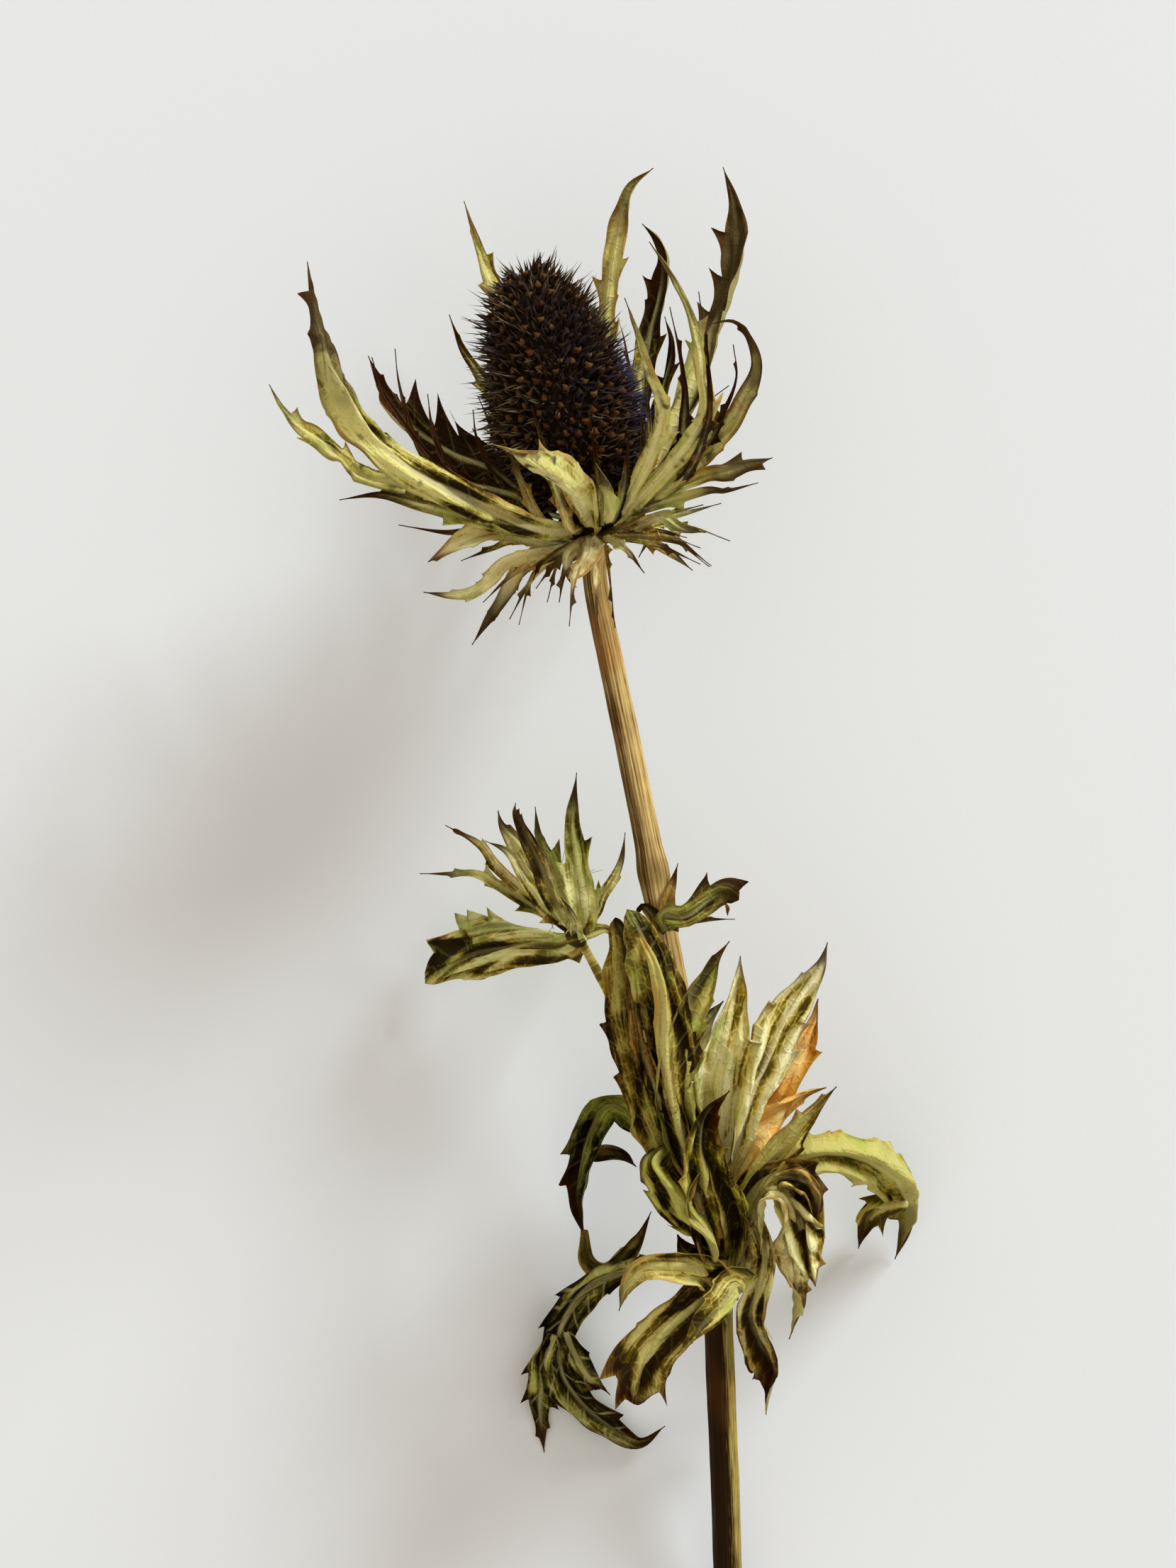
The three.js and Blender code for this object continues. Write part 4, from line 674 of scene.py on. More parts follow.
def blend(tree, share, first, second, kind="MIX"):
    """The first colour at a share of 0, the second at 1."""
    inputs = {0: share, 6: first, 7: second}
    return read(tree, "ShaderNodeMix", 2, inputs, data_type="RGBA", blend_type=kind)


def mark(tree, name):
    """A value that the points of the mesh carry."""
    return read(tree, "ShaderNodeAttribute", "Fac", attribute_name=name)


def stretched(tree, place, factors):
    """A place with each of its axes scaled, so that noise on it is drawn out."""
    return read(tree, "ShaderNodeVectorMath", 0, {0: place, 1: factors}, operation="MULTIPLY")


print("marks and noise can now be mixed into colours")

# %% [markdown]
# ## Dry leaf finish
# A dried leaf keeps pale veins and a pale midrib. The skin between them fades from olive to straw
# in patches, and its tips and margins scorch brown; the dark rim along the margins is partly
# painted shade. Shade is painted into the hollows of the creases and the fine wrinkles, and light
# onto the crests. A photograph could be projected on it, but it would hold only one view. So
# patches come from noise on the object's own coordinates. Streaks, fibres, side veins and the fine
# net between them are laid out on the sheet's own map, where they follow each blade. Marks that
# the blades carry place the midrib, the margin, the tip and the hollows and crests of the creases.
#
# It is one shader group, because every leaf and bract uses it with its own colours. It is built
# in steps: the pattern of the skin, then its colours, then what has withered. Each step adds its
# results to `leaf`, which stands for the group and what is known of its surface so far.

# %% Shader group, first step: the pattern of a dry leaf
VEIN_STEP = 3.4  # mm between side veins
VEIN_SLANT = 1.15
MAP_SCALE = 100  # mm of leaf to one unit of its map


def read_sheet(leaf):
    """Noise over the object and along the blade, fine wrinkles and the net between the veins."""
    tree = leaf.tree
    leaf.place = object_place(tree)
    leaf.sheet = read(tree, "ShaderNodeUVMap", "UV", uv_map="sheet")
    leaf.patches = noise(tree, leaf.place, leaf.given["Mottle scale"], 2.5, 0.55)
    leaf.cloud = noise(tree, leaf.place, 95.0, 2.0)
    leaf.specks = noise(tree, leaf.place, 2600.0, 1.0)
    leaf.fibres = noise(tree, stretched(tree, leaf.sheet, (330.0, 22.0, 0.0)), 1.0, 2.0, 0.6)
    leaf.streaks = noise(tree, stretched(tree, leaf.sheet, (52.0, 3.5, 0.0)), 1.0, 1.5, 0.5)
    folds = noise(tree, stretched(tree, leaf.sheet, (80.0, 9.0, 0.0)), 1.0, 1.0, 0.5)
    leaf.wrinkle = abs(folds - 0.5).ramp(0.0, 0.08)
    cells = {"Vector": stretched(tree, leaf.sheet, (105.0, 70.0, 0.0)), "Scale": 1.0}
    net = read(tree, "ShaderNodeTexVoronoi", "Distance", cells,
               feature="DISTANCE_TO_EDGE", voronoi_dimensions="2D")
    leaf.net = net.ramp(0.16, 0.02)


def find_ribs(leaf):
    """Slanting side veins at an even distance, a little uneven, and the midrib."""
    axes = add(leaf.tree, "ShaderNodeSeparateXYZ", {0: leaf.sheet}).outputs
    across = Field(leaf.tree, axes["X"]) - 0.5
    slant = abs(across) * VEIN_SLANT
    along = (Field(leaf.tree, axes["Y"]) - slant) * (MAP_SCALE / VEIN_STEP)
    shift = across.math("SIGN") * (1 / (2 * math.pi))
    wander = leaf.cloud * 0.5
    veins = (along + shift + wander).math("PINGPONG", 0.5).ramp(0.10, 0.02)
    midrib = mark(leaf.tree, "midrib").ramp(0.12, 0.6)
    leaf.ribs = (veins * leaf.given["Veins"]).math("MAXIMUM", midrib)


print("side veins stand", VEIN_STEP, "mm apart")

# %% Shader group, second step: the colours of the skin
def colour_skin(leaf):
    """Deep to straw by tone and mottle, with painted shade in the hollows and along the wrinkles, painted
    light on the crests, dark blotches, and greener places.
    """
    tree, given = leaf.tree, leaf.given
    lean = mark(tree, "tone") * 0.5
    stain = leaf.patches * 0.75 + leaf.streaks * 0.55
    uneven = (stain - 0.65) * given["Contrast"]
    grain = (leaf.fibres - 0.5) * 0.7
    # painted shade in the hollows of the creases and painted light on their crests, painted shade along
    # the fine wrinkles, and the leaf's own net between the veins
    crease_shade_and_net = mark(tree, "hollow") * -0.36
    crease_shade_and_net = crease_shade_and_net + (leaf.wrinkle - 0.75) * 0.12
    crease_shade_and_net = crease_shade_and_net + (leaf.net - 0.3) * 0.11
    lit = ((lean + uneven) + (grain + crease_shade_and_net) + 0.58).ramp(0.1, 0.92)
    leaf.skin = blend(tree, lit.ramp(0.0, 0.6), given["Deep"], given["Blush"])
    leaf.skin = blend(tree, lit.ramp(0.35, 1.0), leaf.skin, given["Straw"])
    blotch = noise(tree, leaf.place, 190.0, 3.0, 0.6).ramp(0.55, 0.66) * given["Blotch"]
    leaf.skin = blend(tree, blotch, leaf.skin, given["Deep"])

    leaf.shade = blend(tree, lit, given["Deep"], WHITE)
    spread = (noise(tree, leaf.place, 170.0, 3.0, 0.6) - 0.5) * 4.2
    leaf.hue = mark(tree, "hue") + spread
    fresh = leaf.hue.ramp(-0.15, -1.0) * 0.75
    leaf.skin = blend(tree, fresh, leaf.skin, blend(tree, 1.0, given["Fresh"], leaf.shade, "MULTIPLY"))
    leaf.skin = blend(tree, leaf.ribs * 0.7, leaf.skin, given["Vein"])


print("a skin goes from Deep over Blush to Straw, with Fresh patches and Vein on the ribs")

# %% Shader group, third step: rust, scorched tips and the duller under side
def wither_skin(leaf):
    tree, given = leaf.tree, leaf.given
    edge = mark(tree, "margin").ramp(0.1, 0.95) * 0.9
    rust = leaf.hue + edge + mark(tree, "reach_tip") * 0.3
    rust = rust.ramp(0.6, 1.5) * 0.8
    leaf.skin = blend(tree, rust, leaf.skin, blend(tree, 1.0, given["Rust"], leaf.shade, "MULTIPLY"))
    # a dark brown rim along the margin: partly scorch, partly painted shade along the blade's edges
    rim = mark(tree, "margin").ramp(0.35, 1.0) * leaf.streaks.ramp(0.45, 0.62)
    leaf.skin = blend(tree, rim * 0.5, leaf.skin, given["Scorch"])

    tip = mark(tree, "reach_tip") + mark(tree, "scorch") * 0.5
    tip = tip + mark(tree, "margin") * 0.12
    tip = tip + (leaf.patches - 0.5) * 0.55
    leaf.skin = blend(tree, tip.ramp(0.82, 1.2) * 0.92, leaf.skin, given["Scorch"])
    leaf.skin = blend(tree, leaf.specks.ramp(0.64, 0.8) * 0.5, leaf.skin, given["Scorch"])
    dull = blend(tree, 0.35, leaf.skin, given["Straw"])
    leaf.skin = blend(tree, mark(tree, "under"), leaf.skin, dull)


def dry_leaf_group():
    tree = bpy.data.node_groups.new("Dry leaf", "ShaderNodeTree")
    for name in ("Straw", "Deep", "Blush", "Scorch", "Vein", "Fresh", "Rust"):
        new_socket(tree, name, "NodeSocketColor")
    for name, value in (("Mottle scale", 150.0), ("Contrast", 1.0), ("Veins", 0.3), ("Blotch", 0.3)):
        new_socket(tree, name, "NodeSocketFloat", value)
    new_socket(tree, "Colour", "NodeSocketColor", output=True)
    for name in ("Roughness", "Height"):
        new_socket(tree, name, "NodeSocketFloat", output=True)
    leaf = SimpleNamespace(tree=tree, given=group_inputs(tree))
    for step in (read_sheet, find_ribs, colour_skin, wither_skin):
        step(leaf)
    rough = leaf.fibres * 0.25 + leaf.patches * 0.25 + 0.36
    height = leaf.fibres * 0.55 + leaf.ribs * 0.5
    height = height + noise(tree, leaf.place, 1500.0, 2.0) * 0.35
    height = height + leaf.wrinkle * 1.6
    height = height + leaf.net * 0.7
    add(tree, "NodeGroupOutput", {"Colour": leaf.skin, "Roughness": rough, "Height": height})
    return tree


DRY_LEAF = dry_leaf_group()
print("dry leaf takes", [s.name for s in DRY_LEAF.interface.items_tree if s.in_out == "INPUT"])

# %% [markdown]
# ### One finish for each leaf
# The leaves dried at different times, so each has its own straw, its own shade between the veins
# and its own scorch. Waxy dried skin has a soft satin gloss, and a thin leaf lets a little light
# through. Both are the same all over, so the shader's own sockets give them.

# %% Leaf finishes
LEAF_SHINE = {"Specular IOR Level": 0.05, "Subsurface Weight": 0.25,
              "Subsurface Radius": (1.0, 0.8, 0.25), "Subsurface Scale": 0.0005}


def leaf_skin(name, straw, deep, blush, scorch="331806", vein="aba268", fresh="a4ae46", rust="b4863c",
              veins=0.15, contrast=1.9, blotch=0.3):
    """Colours from the ridges, where light is painted, down to the hollows, where shade is painted, and
    how strong veins, mottle and blotches are.
    """
    material, tree, shader = bare_material(name, LEAF_SHINE)
    inputs = {"Straw": linear(straw), "Deep": linear(deep), "Blush": linear(blush),
              "Scorch": linear(scorch), "Vein": linear(vein), "Fresh": linear(fresh),
              "Rust": linear(rust), "Veins": veins, "Contrast": contrast, "Blotch": blotch}
    leaf = add(tree, "ShaderNodeGroup", node_tree=DRY_LEAF)
    for socket, value in inputs.items():
        fill(tree, leaf.inputs[socket], value)
    fill(tree, shader.inputs["Base Color"], leaf.outputs["Colour"])
    fill(tree, shader.inputs["Roughness"], leaf.outputs["Roughness"])
    emboss(tree, shader, leaf.outputs["Height"], 0.8, 0.0001)
    return material


FINISHES = dict(
    ruff=leaf_skin("straw_bract", "d6ce7c", "2a1c03", "9b882c", vein="e4d99a",
                   veins=0.1, contrast=2.3, blotch=0.85),
    collar=leaf_skin("olive_bract", "f6edb0", "5c440e", "d6b85a", vein="e6d99a", veins=0.1),
    strap=leaf_skin("pale_strap_leaf", "b2a758", "302308", "8f7526", veins=0.1),
    leaf_front=leaf_skin("olive_front_leaf", "b6ab58", "231802", "836818", vein="cabf78"),
    leaf_pale=leaf_skin("pale_green_leaf", "ebe3aa", "57470e", "cab547", vein="f4eabc",
                        contrast=1.35, blotch=0.1),
    leaf_orange=leaf_skin("orange_brown_leaf", "f8dc90", "7a4a0d", "e1a238", vein="fbdc9c",
                          rust="f2b04c", veins=0.2, contrast=1.4, blotch=0.1),
    leaf_right=leaf_skin("yellow_green_leaf", "bdb464", "54440c", "b6a238", vein="cfc67e",
                         veins=0.2, contrast=1.4, blotch=0.2),
    leaf_hanging=leaf_skin("olive_hanging_leaf", "f2eba5", "302208", "b49731", contrast=2.4),
    leaf_folded=leaf_skin("green_folded_leaf", "c0bb5a", "241b02", "8d7f1e"),
    leaf_lower_left=leaf_skin("brown_curled_leaf", "d9cf7b", "342508", "91781f", contrast=1.4),
    leaf_dark=leaf_skin("dark_back_leaf", "6c6227", "0d0801", "3e3206", vein="776933", veins=0.3),
    leaf_lying=leaf_skin("green_lying_leaf", "b0ac5b", "171202", "615615", vein="cfc784",
                         veins=0.5, contrast=2.6, blotch=0.5),
    shoot=leaf_skin("shoot_leaf", "e6e099", "332606", "ac9434", contrast=2.3),
)
print(len(FINISHES), "leaf finishes")

# %% [markdown]
# ## How a blade is made
# A dried bract or leaf lobe is a thin sheet whose halves rolled up or down along the midrib, with
# a few long spiny teeth and a crumpled margin. It could be a flat cut-out bent with modifiers, but
# then teeth, roll and veins would fight. Here one grid of points is laid along the curve: its
# outline comes from the width and the teeth, its relief from the roll, the creases and the
# crumpling, and its thickness from a second grid underneath. The same function makes all blades.
#
# Across a blade, `s` goes from -1 at the left margin over 0 at the midrib to 1 at the right one.
# Along it, `t` goes from 0 at the foot to 1 at the tip.

# %% Outline of a blade
BLADE_DEFAULTS = dict(belly=0.35, root=0.4, fold=18, tip=1.2, spine=2, left=(), right=(),
                      face=(0, 0, 1), twist=0, tone=0, scorch=0.3, hue=0, crumple=1, slim=1, folds=(),
                      branch=False)
NARROW_COLUMNS = np.array([-1, -0.96, -0.87, -0.72, -0.53, -0.34, -0.16, -0.06])
BROAD_COLUMNS = np.array([-1, -0.97, -0.91, -0.83, -0.74, -0.65, -0.56, -0.47, -0.38, -0.29, -0.2,
                          -0.12, -0.05])
BROAD_FROM = 3.6
ROW_STEP = 0.6
ROW_GAP = 0.1  # rows nearer than this are dropped
POINT_HALF_WIDTH = 0.07
TOOTH_AT_TIP = 0.45
TOOTH_LEAN = 0.7
TOOTH_BEHIND = (0.9, 1.1)  # mm of the flank behind a tooth, and more for each mm that it stands out
TOOTH_AHEAD = 0.7
BEHIND_HOLLOW, AHEAD_HOLLOW = 2.0, 1.5  # powers that make both flanks concave
BIG_TOOTH_STEPS = np.array([-1, -0.75, -0.5, -0.3, -0.14, 0, 0.2, 0.5, 1])
SMALL_TOOTH_STEPS = np.array([-1, -0.45, -0.15, 0, 0.4, 1])
SMALL_TOOTH = 0.6
SMALL_TOOTH_SIZE = (0.2, 0.55)
SMALL_TOOTH_SPAN = (0.15, 0.93)  # where they may stand, as shares of the length
SMALL_TOOTH_STEP = (6, 10)  # mm from one to the next, and more on a crumpled blade
CLEAR_OF_BIG = 2.4


def columns_across(blade):
    left = BROAD_COLUMNS if blade["width"] * blade["slim"] > BROAD_FROM else NARROW_COLUMNS
    return np.concatenate([left, [0], -left[::-1]])[None, :]


def half_width(blade, t):
    swelling = np.sin(np.pi / 2 * np.minimum(t / blade["belly"], 1))
    before = blade["root"] + (1 - blade["root"]) * swelling
    past = np.clip((t - blade["belly"]) / (1 - blade["belly"]), 0, 1)
    after = np.cos(np.pi / 2 * past) ** blade["tip"]
    return np.maximum(blade["width"] / 2 * np.where(t < blade["belly"], before, after), POINT_HALF_WIDTH)


def tooth_behind(size):
    return TOOTH_BEHIND[0] + TOOTH_BEHIND[1] * size


def rows_along(blade, length):
    """Even rows along the blade, and closer ones where a tooth rises and falls."""
    even = np.linspace(0, 1, max(round(length / ROW_STEP), 10) + 1)
    near = []
    for t, size in [*blade["left"], *blade["right"]]:
        steps = BIG_TOOTH_STEPS if size > SMALL_TOOTH else SMALL_TOOTH_STEPS
        near.append(t + np.where(steps < 0, tooth_behind(size), TOOTH_AHEAD) * steps / length)
    rows = np.unique(np.clip(np.concatenate([even, *near]), 0, 1).round(4))
    return rows[np.append(True, np.diff(rows) > ROW_GAP / length)]


def tooth_reach(teeth, t, length):
    """How far the margin stands out at each row: a long flank behind a tooth, a steep one ahead."""
    reach = np.zeros_like(t)
    for centre, size in teeth:
        x = (t - centre) * length
        behind = np.clip(1 + x / tooth_behind(size), 0, 1) ** BEHIND_HOLLOW
        ahead = np.clip(1 - x / TOOTH_AHEAD, 0, 1) ** AHEAD_HOLLOW
        reach = np.maximum(reach, size * np.where(x < 0, behind, ahead))
    return reach


def big_tooth_size(blade, t):
    """Teeth are shorter where the blade is narrow."""
    half = float(half_width(blade, np.float64(t)))
    return blade["spine"] * (TOOTH_AT_TIP + (1 - TOOTH_AT_TIP) * 2 * half / blade["width"])


def with_teeth(blade, length, rng):
    """Gives each tooth its size, and adds the few small ones that a real margin has between them."""
    blade = {**BLADE_DEFAULTS, **blade}
    for side in ("left", "right"):
        big = [(t, big_tooth_size(blade, t)) for t in blade[side]]
        count = round(length / (SMALL_TOOTH_STEP[0] + SMALL_TOOTH_STEP[1] * blade["crumple"]))
        spots = rng.uniform(*SMALL_TOOTH_SPAN, count)
        small = [(t, rng.uniform(*SMALL_TOOTH_SIZE)) for t in spots]
        free = [s for s in small if all(abs(s[0] - b[0]) * length > CLEAR_OF_BIG for b in big)]
        blade[side] = sorted(big + free)
    return blade


for label, columns in (("broad", BROAD_COLUMNS), ("narrow", NARROW_COLUMNS)):
    print(f"a {label} blade has {2 * len(columns) + 1} points across")

# %% [markdown]
# ### Relief of a blade
# A dried leaf is never flat. Its halves roll up or down along the midrib, and folds run over it
# that begin, wander and end somewhere. Fine pleats follow its length, the skin bulges between the
# side veins, and the margin ripples. Each of these is one smooth wave over the grid, in
# millimetres, and their sum lifts the points off the curve. All waves fade out at foot and tip.
# The hollows and crests among them are kept as a mark, from which the leaf's finish paints shade into the
# hollows and light onto the crests.

# %% Relief of a blade
SHEET_HALF = 0.12
MIDRIB_HALF = 0.3
ROLL_GAIN = (1.6, 1.5)
ROLL_RANGE = (0.25, 1.5)
ROLL_LENGTH = 5.5
ROLL_UNEVEN = 0.45
QUILT = 0.09
RIPPLE = dict(size=0.28, length=(0.9, 1.3))
SWING = dict(size=0.5, length=(2.0, 3.0))
SAG = dict(size=0.32, length=3.7)
PLEAT = (0.1, 0.3)
PLEATS = 6.5
CREASES = 9
CREASE_BEGIN = (-0.2, 0.75)  # shares of the length
CREASE_RUN = (0.25, 0.6)
CREASE_PLACE = (-0.85, 0.85)  # shares of the half width, and so is the drift
CREASE_DRIFT = (-0.6, 0.6)
CREASE_DEPTH = (0.4, 1.0)
CREASE_WIDTH = (0.35, 0.7)
DEEP_WIDTH = 0.75
NARROW_HALF = 1.5  # narrower halves have shallower creases and margins
HOLLOW_GAIN = 1.2
FADE = (0.12, 0.08)  # shares of the length, at foot and tip
HUE_SPREAD = 0.35
FULL_TURN = 2 * np.pi


def rolled(blade, s, half, along, rng):
    """The halves rolled up or down: mm sideways, mm up and the slope of the sheet at each point."""
    phase = rng.uniform(0, FULL_TURN, 2)
    wave = np.sin(along / ROLL_LENGTH + np.where(s < 0, phase[0], phase[1]))
    gain = ROLL_GAIN[0] + ROLL_GAIN[1] * blade["crumple"]
    roll = np.clip(math.radians(abs(blade["fold"])) * gain * (1 + ROLL_UNEVEN * wave), *ROLL_RANGE)
    radius = half / np.sin(roll)
    way = math.copysign(1, blade["fold"])
    return radius * np.sin(s * roll), way * radius * (1 - np.cos(s * roll)), way * np.abs(s) * roll


def ridge(s, centre, half, width):
    """A soft ridge, 1 high, that runs along the blade at a share of its half width."""
    return np.exp(-((s - centre) * half / width) ** 2)


def creases(blade, t, s, half, rng):
    """Folds that begin, wander and end somewhere on the sheet, and the deep ones its row names."""
    lift = np.zeros(np.broadcast(t, s).shape)
    shallow = np.minimum(half / NARROW_HALF, 1)
    for place, drift, depth, *narrow in blade["folds"]:
        width = narrow[0] if narrow else DEEP_WIDTH
        centre = place + drift * (t - 0.5) + 0.07 * np.sin(11 * t + 5 * place)
        lift += depth * shallow * ridge(s, centre, half, width)
    for number in range(CREASES):
        begin, run = rng.uniform(*CREASE_BEGIN), rng.uniform(*CREASE_RUN)
        place, drift = rng.uniform(*CREASE_PLACE), rng.uniform(*CREASE_DRIFT)
        depth, width = rng.uniform(*CREASE_DEPTH), rng.uniform(*CREASE_WIDTH)
        u = (t - begin) / run
        centre = place + drift * (u - 0.5) + 0.12 * np.sin(7 * u + 6 * place)
        strength = np.sqrt(np.clip(4 * u * (1 - u), 0, 1)) * shallow
        lift += blade["crumple"] * (-1) ** number * depth * strength * ridge(s, centre, half, width)
    return lift


def margin_waves(blade, s, half, along, phase, rng):
    """Short ripples right at the margin, and longer swings further in."""
    ripple = np.sin(along / rng.uniform(*RIPPLE["length"]) + np.where(s < 0, phase[0], phase[1]))
    swing = np.sin(along / rng.uniform(*SWING["length"]) + np.where(s < 0, phase[2], phase[3]))
    size = np.abs(s)
    waves = RIPPLE["size"] * ripple * size**3 + SWING["size"] * swing * size**2
    return blade["crumple"] * waves * np.minimum(half / NARROW_HALF, 1)


def relief(blade, t, s, half, length, rng):
    """How far each point lies above the rolled sheet, and how deep in a hollow it is."""
    along = t * length
    size = np.abs(s)
    crumple = blade["crumple"]
    vein_turn = FULL_TURN * (along - VEIN_SLANT * size * half) / VEIN_STEP + np.sign(s)
    quilt = QUILT * np.sin(vein_turn) * 4 * size * (1 - size)
    phase = rng.uniform(0, FULL_TURN, 8)
    margin = margin_waves(blade, s, half, along, phase, rng)
    wander = phase[4] + 1.3 * np.sin(along / 7 + phase[6]) + 2 * np.sin(along / 23 + phase[7])
    furrow = (PLEAT[0] + PLEAT[1] * crumple) * np.sin(PLEATS * s + wander)
    furrow = furrow * np.minimum(half / 1.6, 1) * (1 - 0.6 * size**4)
    sag = SAG["size"] * crumple * np.sin(along / SAG["length"] + phase[5]) * np.sin(s * 1.7 + phase[6])
    folds = creases(blade, t, s, half, rng)
    # hollow: positive in a hollow and negative on a crest; the finish paints shade and light from it
    hollow = np.clip(-HOLLOW_GAIN * (furrow + folds), -0.7, 1)
    fade = np.minimum(t / FADE[0], 1) * np.minimum((1 - t) / FADE[1], 1)
    return fade * (quilt + margin + furrow + sag + folds), hollow * fade


print("a crumpled blade has", CREASES, "wandering creases, up to", CREASE_DEPTH[1], "mm deep")

# %% [markdown]
# ### From grid to closed sheet
# The upper and the lower grid share their outline. The lower one bulges under the midrib, as on
# the real leaf, and both close to a thin rounded edge. Each point also carries what the material
# needs: how near it is to the midrib, the margin and the tip, how deep it lies in a hollow, and
# the tone, hue and scorch of its blade.

# %% Rows of one blade
TWIST_WAVE = 13  # degrees to either side, on a fully crumpled blade
TWIST_LENGTH = 5.5
BEND_REACH = 0.03  # share of the length to either side, over which a bend is measured
BEND_ROOM = 0.8  # share of a bend's radius that a blade may fill
STRAIGHT = 1e-9  # keeps a straight blade from dividing by zero


def lay_out(given, points, seed):
    """Where the blade runs: its rows, and at each row its heading, its way up and half its width."""
    rng = np.random.default_rng(seed)
    line = Line(points)
    blade = with_teeth(given, line.length, rng)
    t = rows_along(blade, line.length)
    along = t * line.length
    heading = line.heading(t)
    face = np.array(blade["face"], float)
    up = face - heading * (heading @ face)[:, None]
    up /= np.linalg.norm(up, axis=1, keepdims=True)
    wave = np.sin(along / TWIST_LENGTH + 2.4 * seed) * np.minimum(t / 0.2, 1) * blade["crumple"]
    turn = np.radians(blade["twist"] * t + TWIST_WAVE * wave)[:, None]
    up = up * np.cos(turn) + np.cross(heading, up) * np.sin(turn)
    across = np.cross(heading, up)
    change = line.heading(t + BEND_REACH) - line.heading(t - BEND_REACH)
    bend = np.maximum(np.abs(np.sum(change * across, axis=1)), STRAIGHT)
    uneven = 1 + 0.05 * np.sin(along / 1.9 + seed) + 0.04 * np.sin(along / 0.8 + 2 * seed)
    half = np.minimum(half_width(blade, t) * uneven, BEND_ROOM * 2 * BEND_REACH * line.length / bend)
    return SimpleNamespace(blade=blade, line=line, t=t, heading=heading, up=up, across=across,
                           half=half, seed=seed, rng=rng)


example = lay_out(RUFF_BRACTS[0], RUFF_BRACTS[0]["route"], 0)
print(RUFF_BRACTS[0]["name"], "has", len(example.t), "rows on", round(example.line.length), "mm")

# %% Points of one blade
MARKS = ("midrib", "margin", "reach_tip", "tone", "scorch", "hue", "hollow", "under")
TOOTH_FROM = 0.3  # share of the half width at which a tooth begins to pull the skin along
TOOTH_PULL = 1.6
RIB_WIDTH = 0.34
RIB_ABOVE = 0.14  # share of the midrib's height that shows on the upper side
MARGIN_BAND = 0.8  # mm from the margin that the mark of it reaches
SEEDS_APART = 29  # blades with seeds this far apart share a place on the map


def both_sides(s, broad, rib):
    """How far the upper and the lower side stand from the middle: thin at the margin."""
    thin = np.minimum(1, (1 - np.abs(s)) * 12) * 0.75 + 0.25
    body = np.minimum(SHEET_HALF, 0.55 * broad + 0.02) * thin
    return body + RIB_ABOVE * MIDRIB_HALF * rib, body + MIDRIB_HALF * rib


def blade_marks(base, s, broad, rib, reach, hollow):
    rows = base.t[:, None]
    flat = np.ones_like(hollow)
    edge = np.clip(1 - (1 - np.abs(s)) * broad / MARGIN_BAND, 0, 1) * flat
    hue = base.blade["hue"] + HUE_SPREAD * math.sin(7.3 * base.seed)
    return dict(midrib=rib * flat, margin=np.maximum(edge, np.minimum(reach / MARGIN_BAND, 1)),
                reach_tip=rows * flat, tone=base.blade["tone"] * flat,
                scorch=base.blade["scorch"] * flat, hue=hue * flat, hollow=hollow * flat)


def blade_sheet(given, points, seed):
    """The upper and the lower grid of a blade, its marks, and its places on the map."""
    base = lay_out(given, points, seed)
    blade, line, t = base.blade, base.line, base.t
    s = columns_across(blade)
    rows = t[:, None]
    reach = np.where(s < 0, tooth_reach(blade["left"], t, line.length)[:, None],
                     tooth_reach(blade["right"], t, line.length)[:, None])
    reach = reach * np.clip((np.abs(s) - TOOTH_FROM) / (1 - TOOTH_FROM), 0, 1) ** TOOTH_PULL
    broad = base.half[:, None] * math.cos(math.radians(blade["fold"])) * blade["slim"]
    sideways, lift, slope = rolled(blade, s, broad, rows * line.length, base.rng)
    bumps, hollow = relief(blade, rows, s, broad, line.length, base.rng)
    lift = lift + bumps + np.sin(slope) * reach
    sideways = sideways + np.sign(s) * reach * np.cos(slope)
    up = base.up[:, None, :]
    middle = (line.at(t)[:, None, :] + base.across[:, None, :] * sideways[..., None]
              + base.heading[:, None, :] * (TOOTH_LEAN * reach)[..., None] + up * lift[..., None])
    rib = np.exp(-((s * broad / RIB_WIDTH) ** 2)) * (1 - 0.75 * rows) * np.minimum(broad / 0.9, 1)
    above, below = both_sides(s, broad, rib)
    on_map = rows * line.length + TOOTH_LEAN * reach
    places = np.stack([0.5 + sideways / MAP_SCALE,
                       on_map / MAP_SCALE + VEIN_STEP / MAP_SCALE * (seed % SEEDS_APART)], axis=-1)
    marks = blade_marks(base, s, broad, rib, reach, hollow)
    return middle + up * above[..., None], middle - up * below[..., None], marks, places


example = blade_sheet(RUFF_BRACTS[0], RUFF_BRACTS[0]["route"], 0)
print("its upper side is a grid of", example[0].shape[:2], "points")

# %% Join many blades into one mesh
TOUCHING = 0.5  # mm above the surface, below which a blade lies down on it


def sheet_faces(rows, columns, start):
    """Quads of a closed sheet whose upper grid comes first and whose lower grid follows it."""
    grid = np.arange(rows * columns).reshape(rows, columns) + start
    under = grid + rows * columns
    a, b, c, d = grid[:-1, :-1], grid[:-1, 1:], grid[1:, 1:], grid[1:, :-1]
    e, f, g, h = under[:-1, :-1], under[1:, :-1], under[1:, 1:], under[:-1, 1:]
    quads = [np.stack(q, axis=-1).reshape(-1, 4) for q in ((a, b, c, d), (e, f, g, h))]
    quads.append(np.stack((grid[:-1, 0], grid[1:, 0], under[1:, 0], under[:-1, 0]), axis=-1))
    quads.append(np.stack((grid[:-1, -1], under[:-1, -1], under[1:, -1], grid[1:, -1]), axis=-1))
    quads.append(np.stack((grid[0, :-1], under[0, :-1], under[0, 1:], grid[0, 1:]), axis=-1))
    quads.append(np.stack((grid[-1, :-1], grid[-1, 1:], under[-1, 1:], under[-1, :-1]), axis=-1))
    return np.vstack(quads)


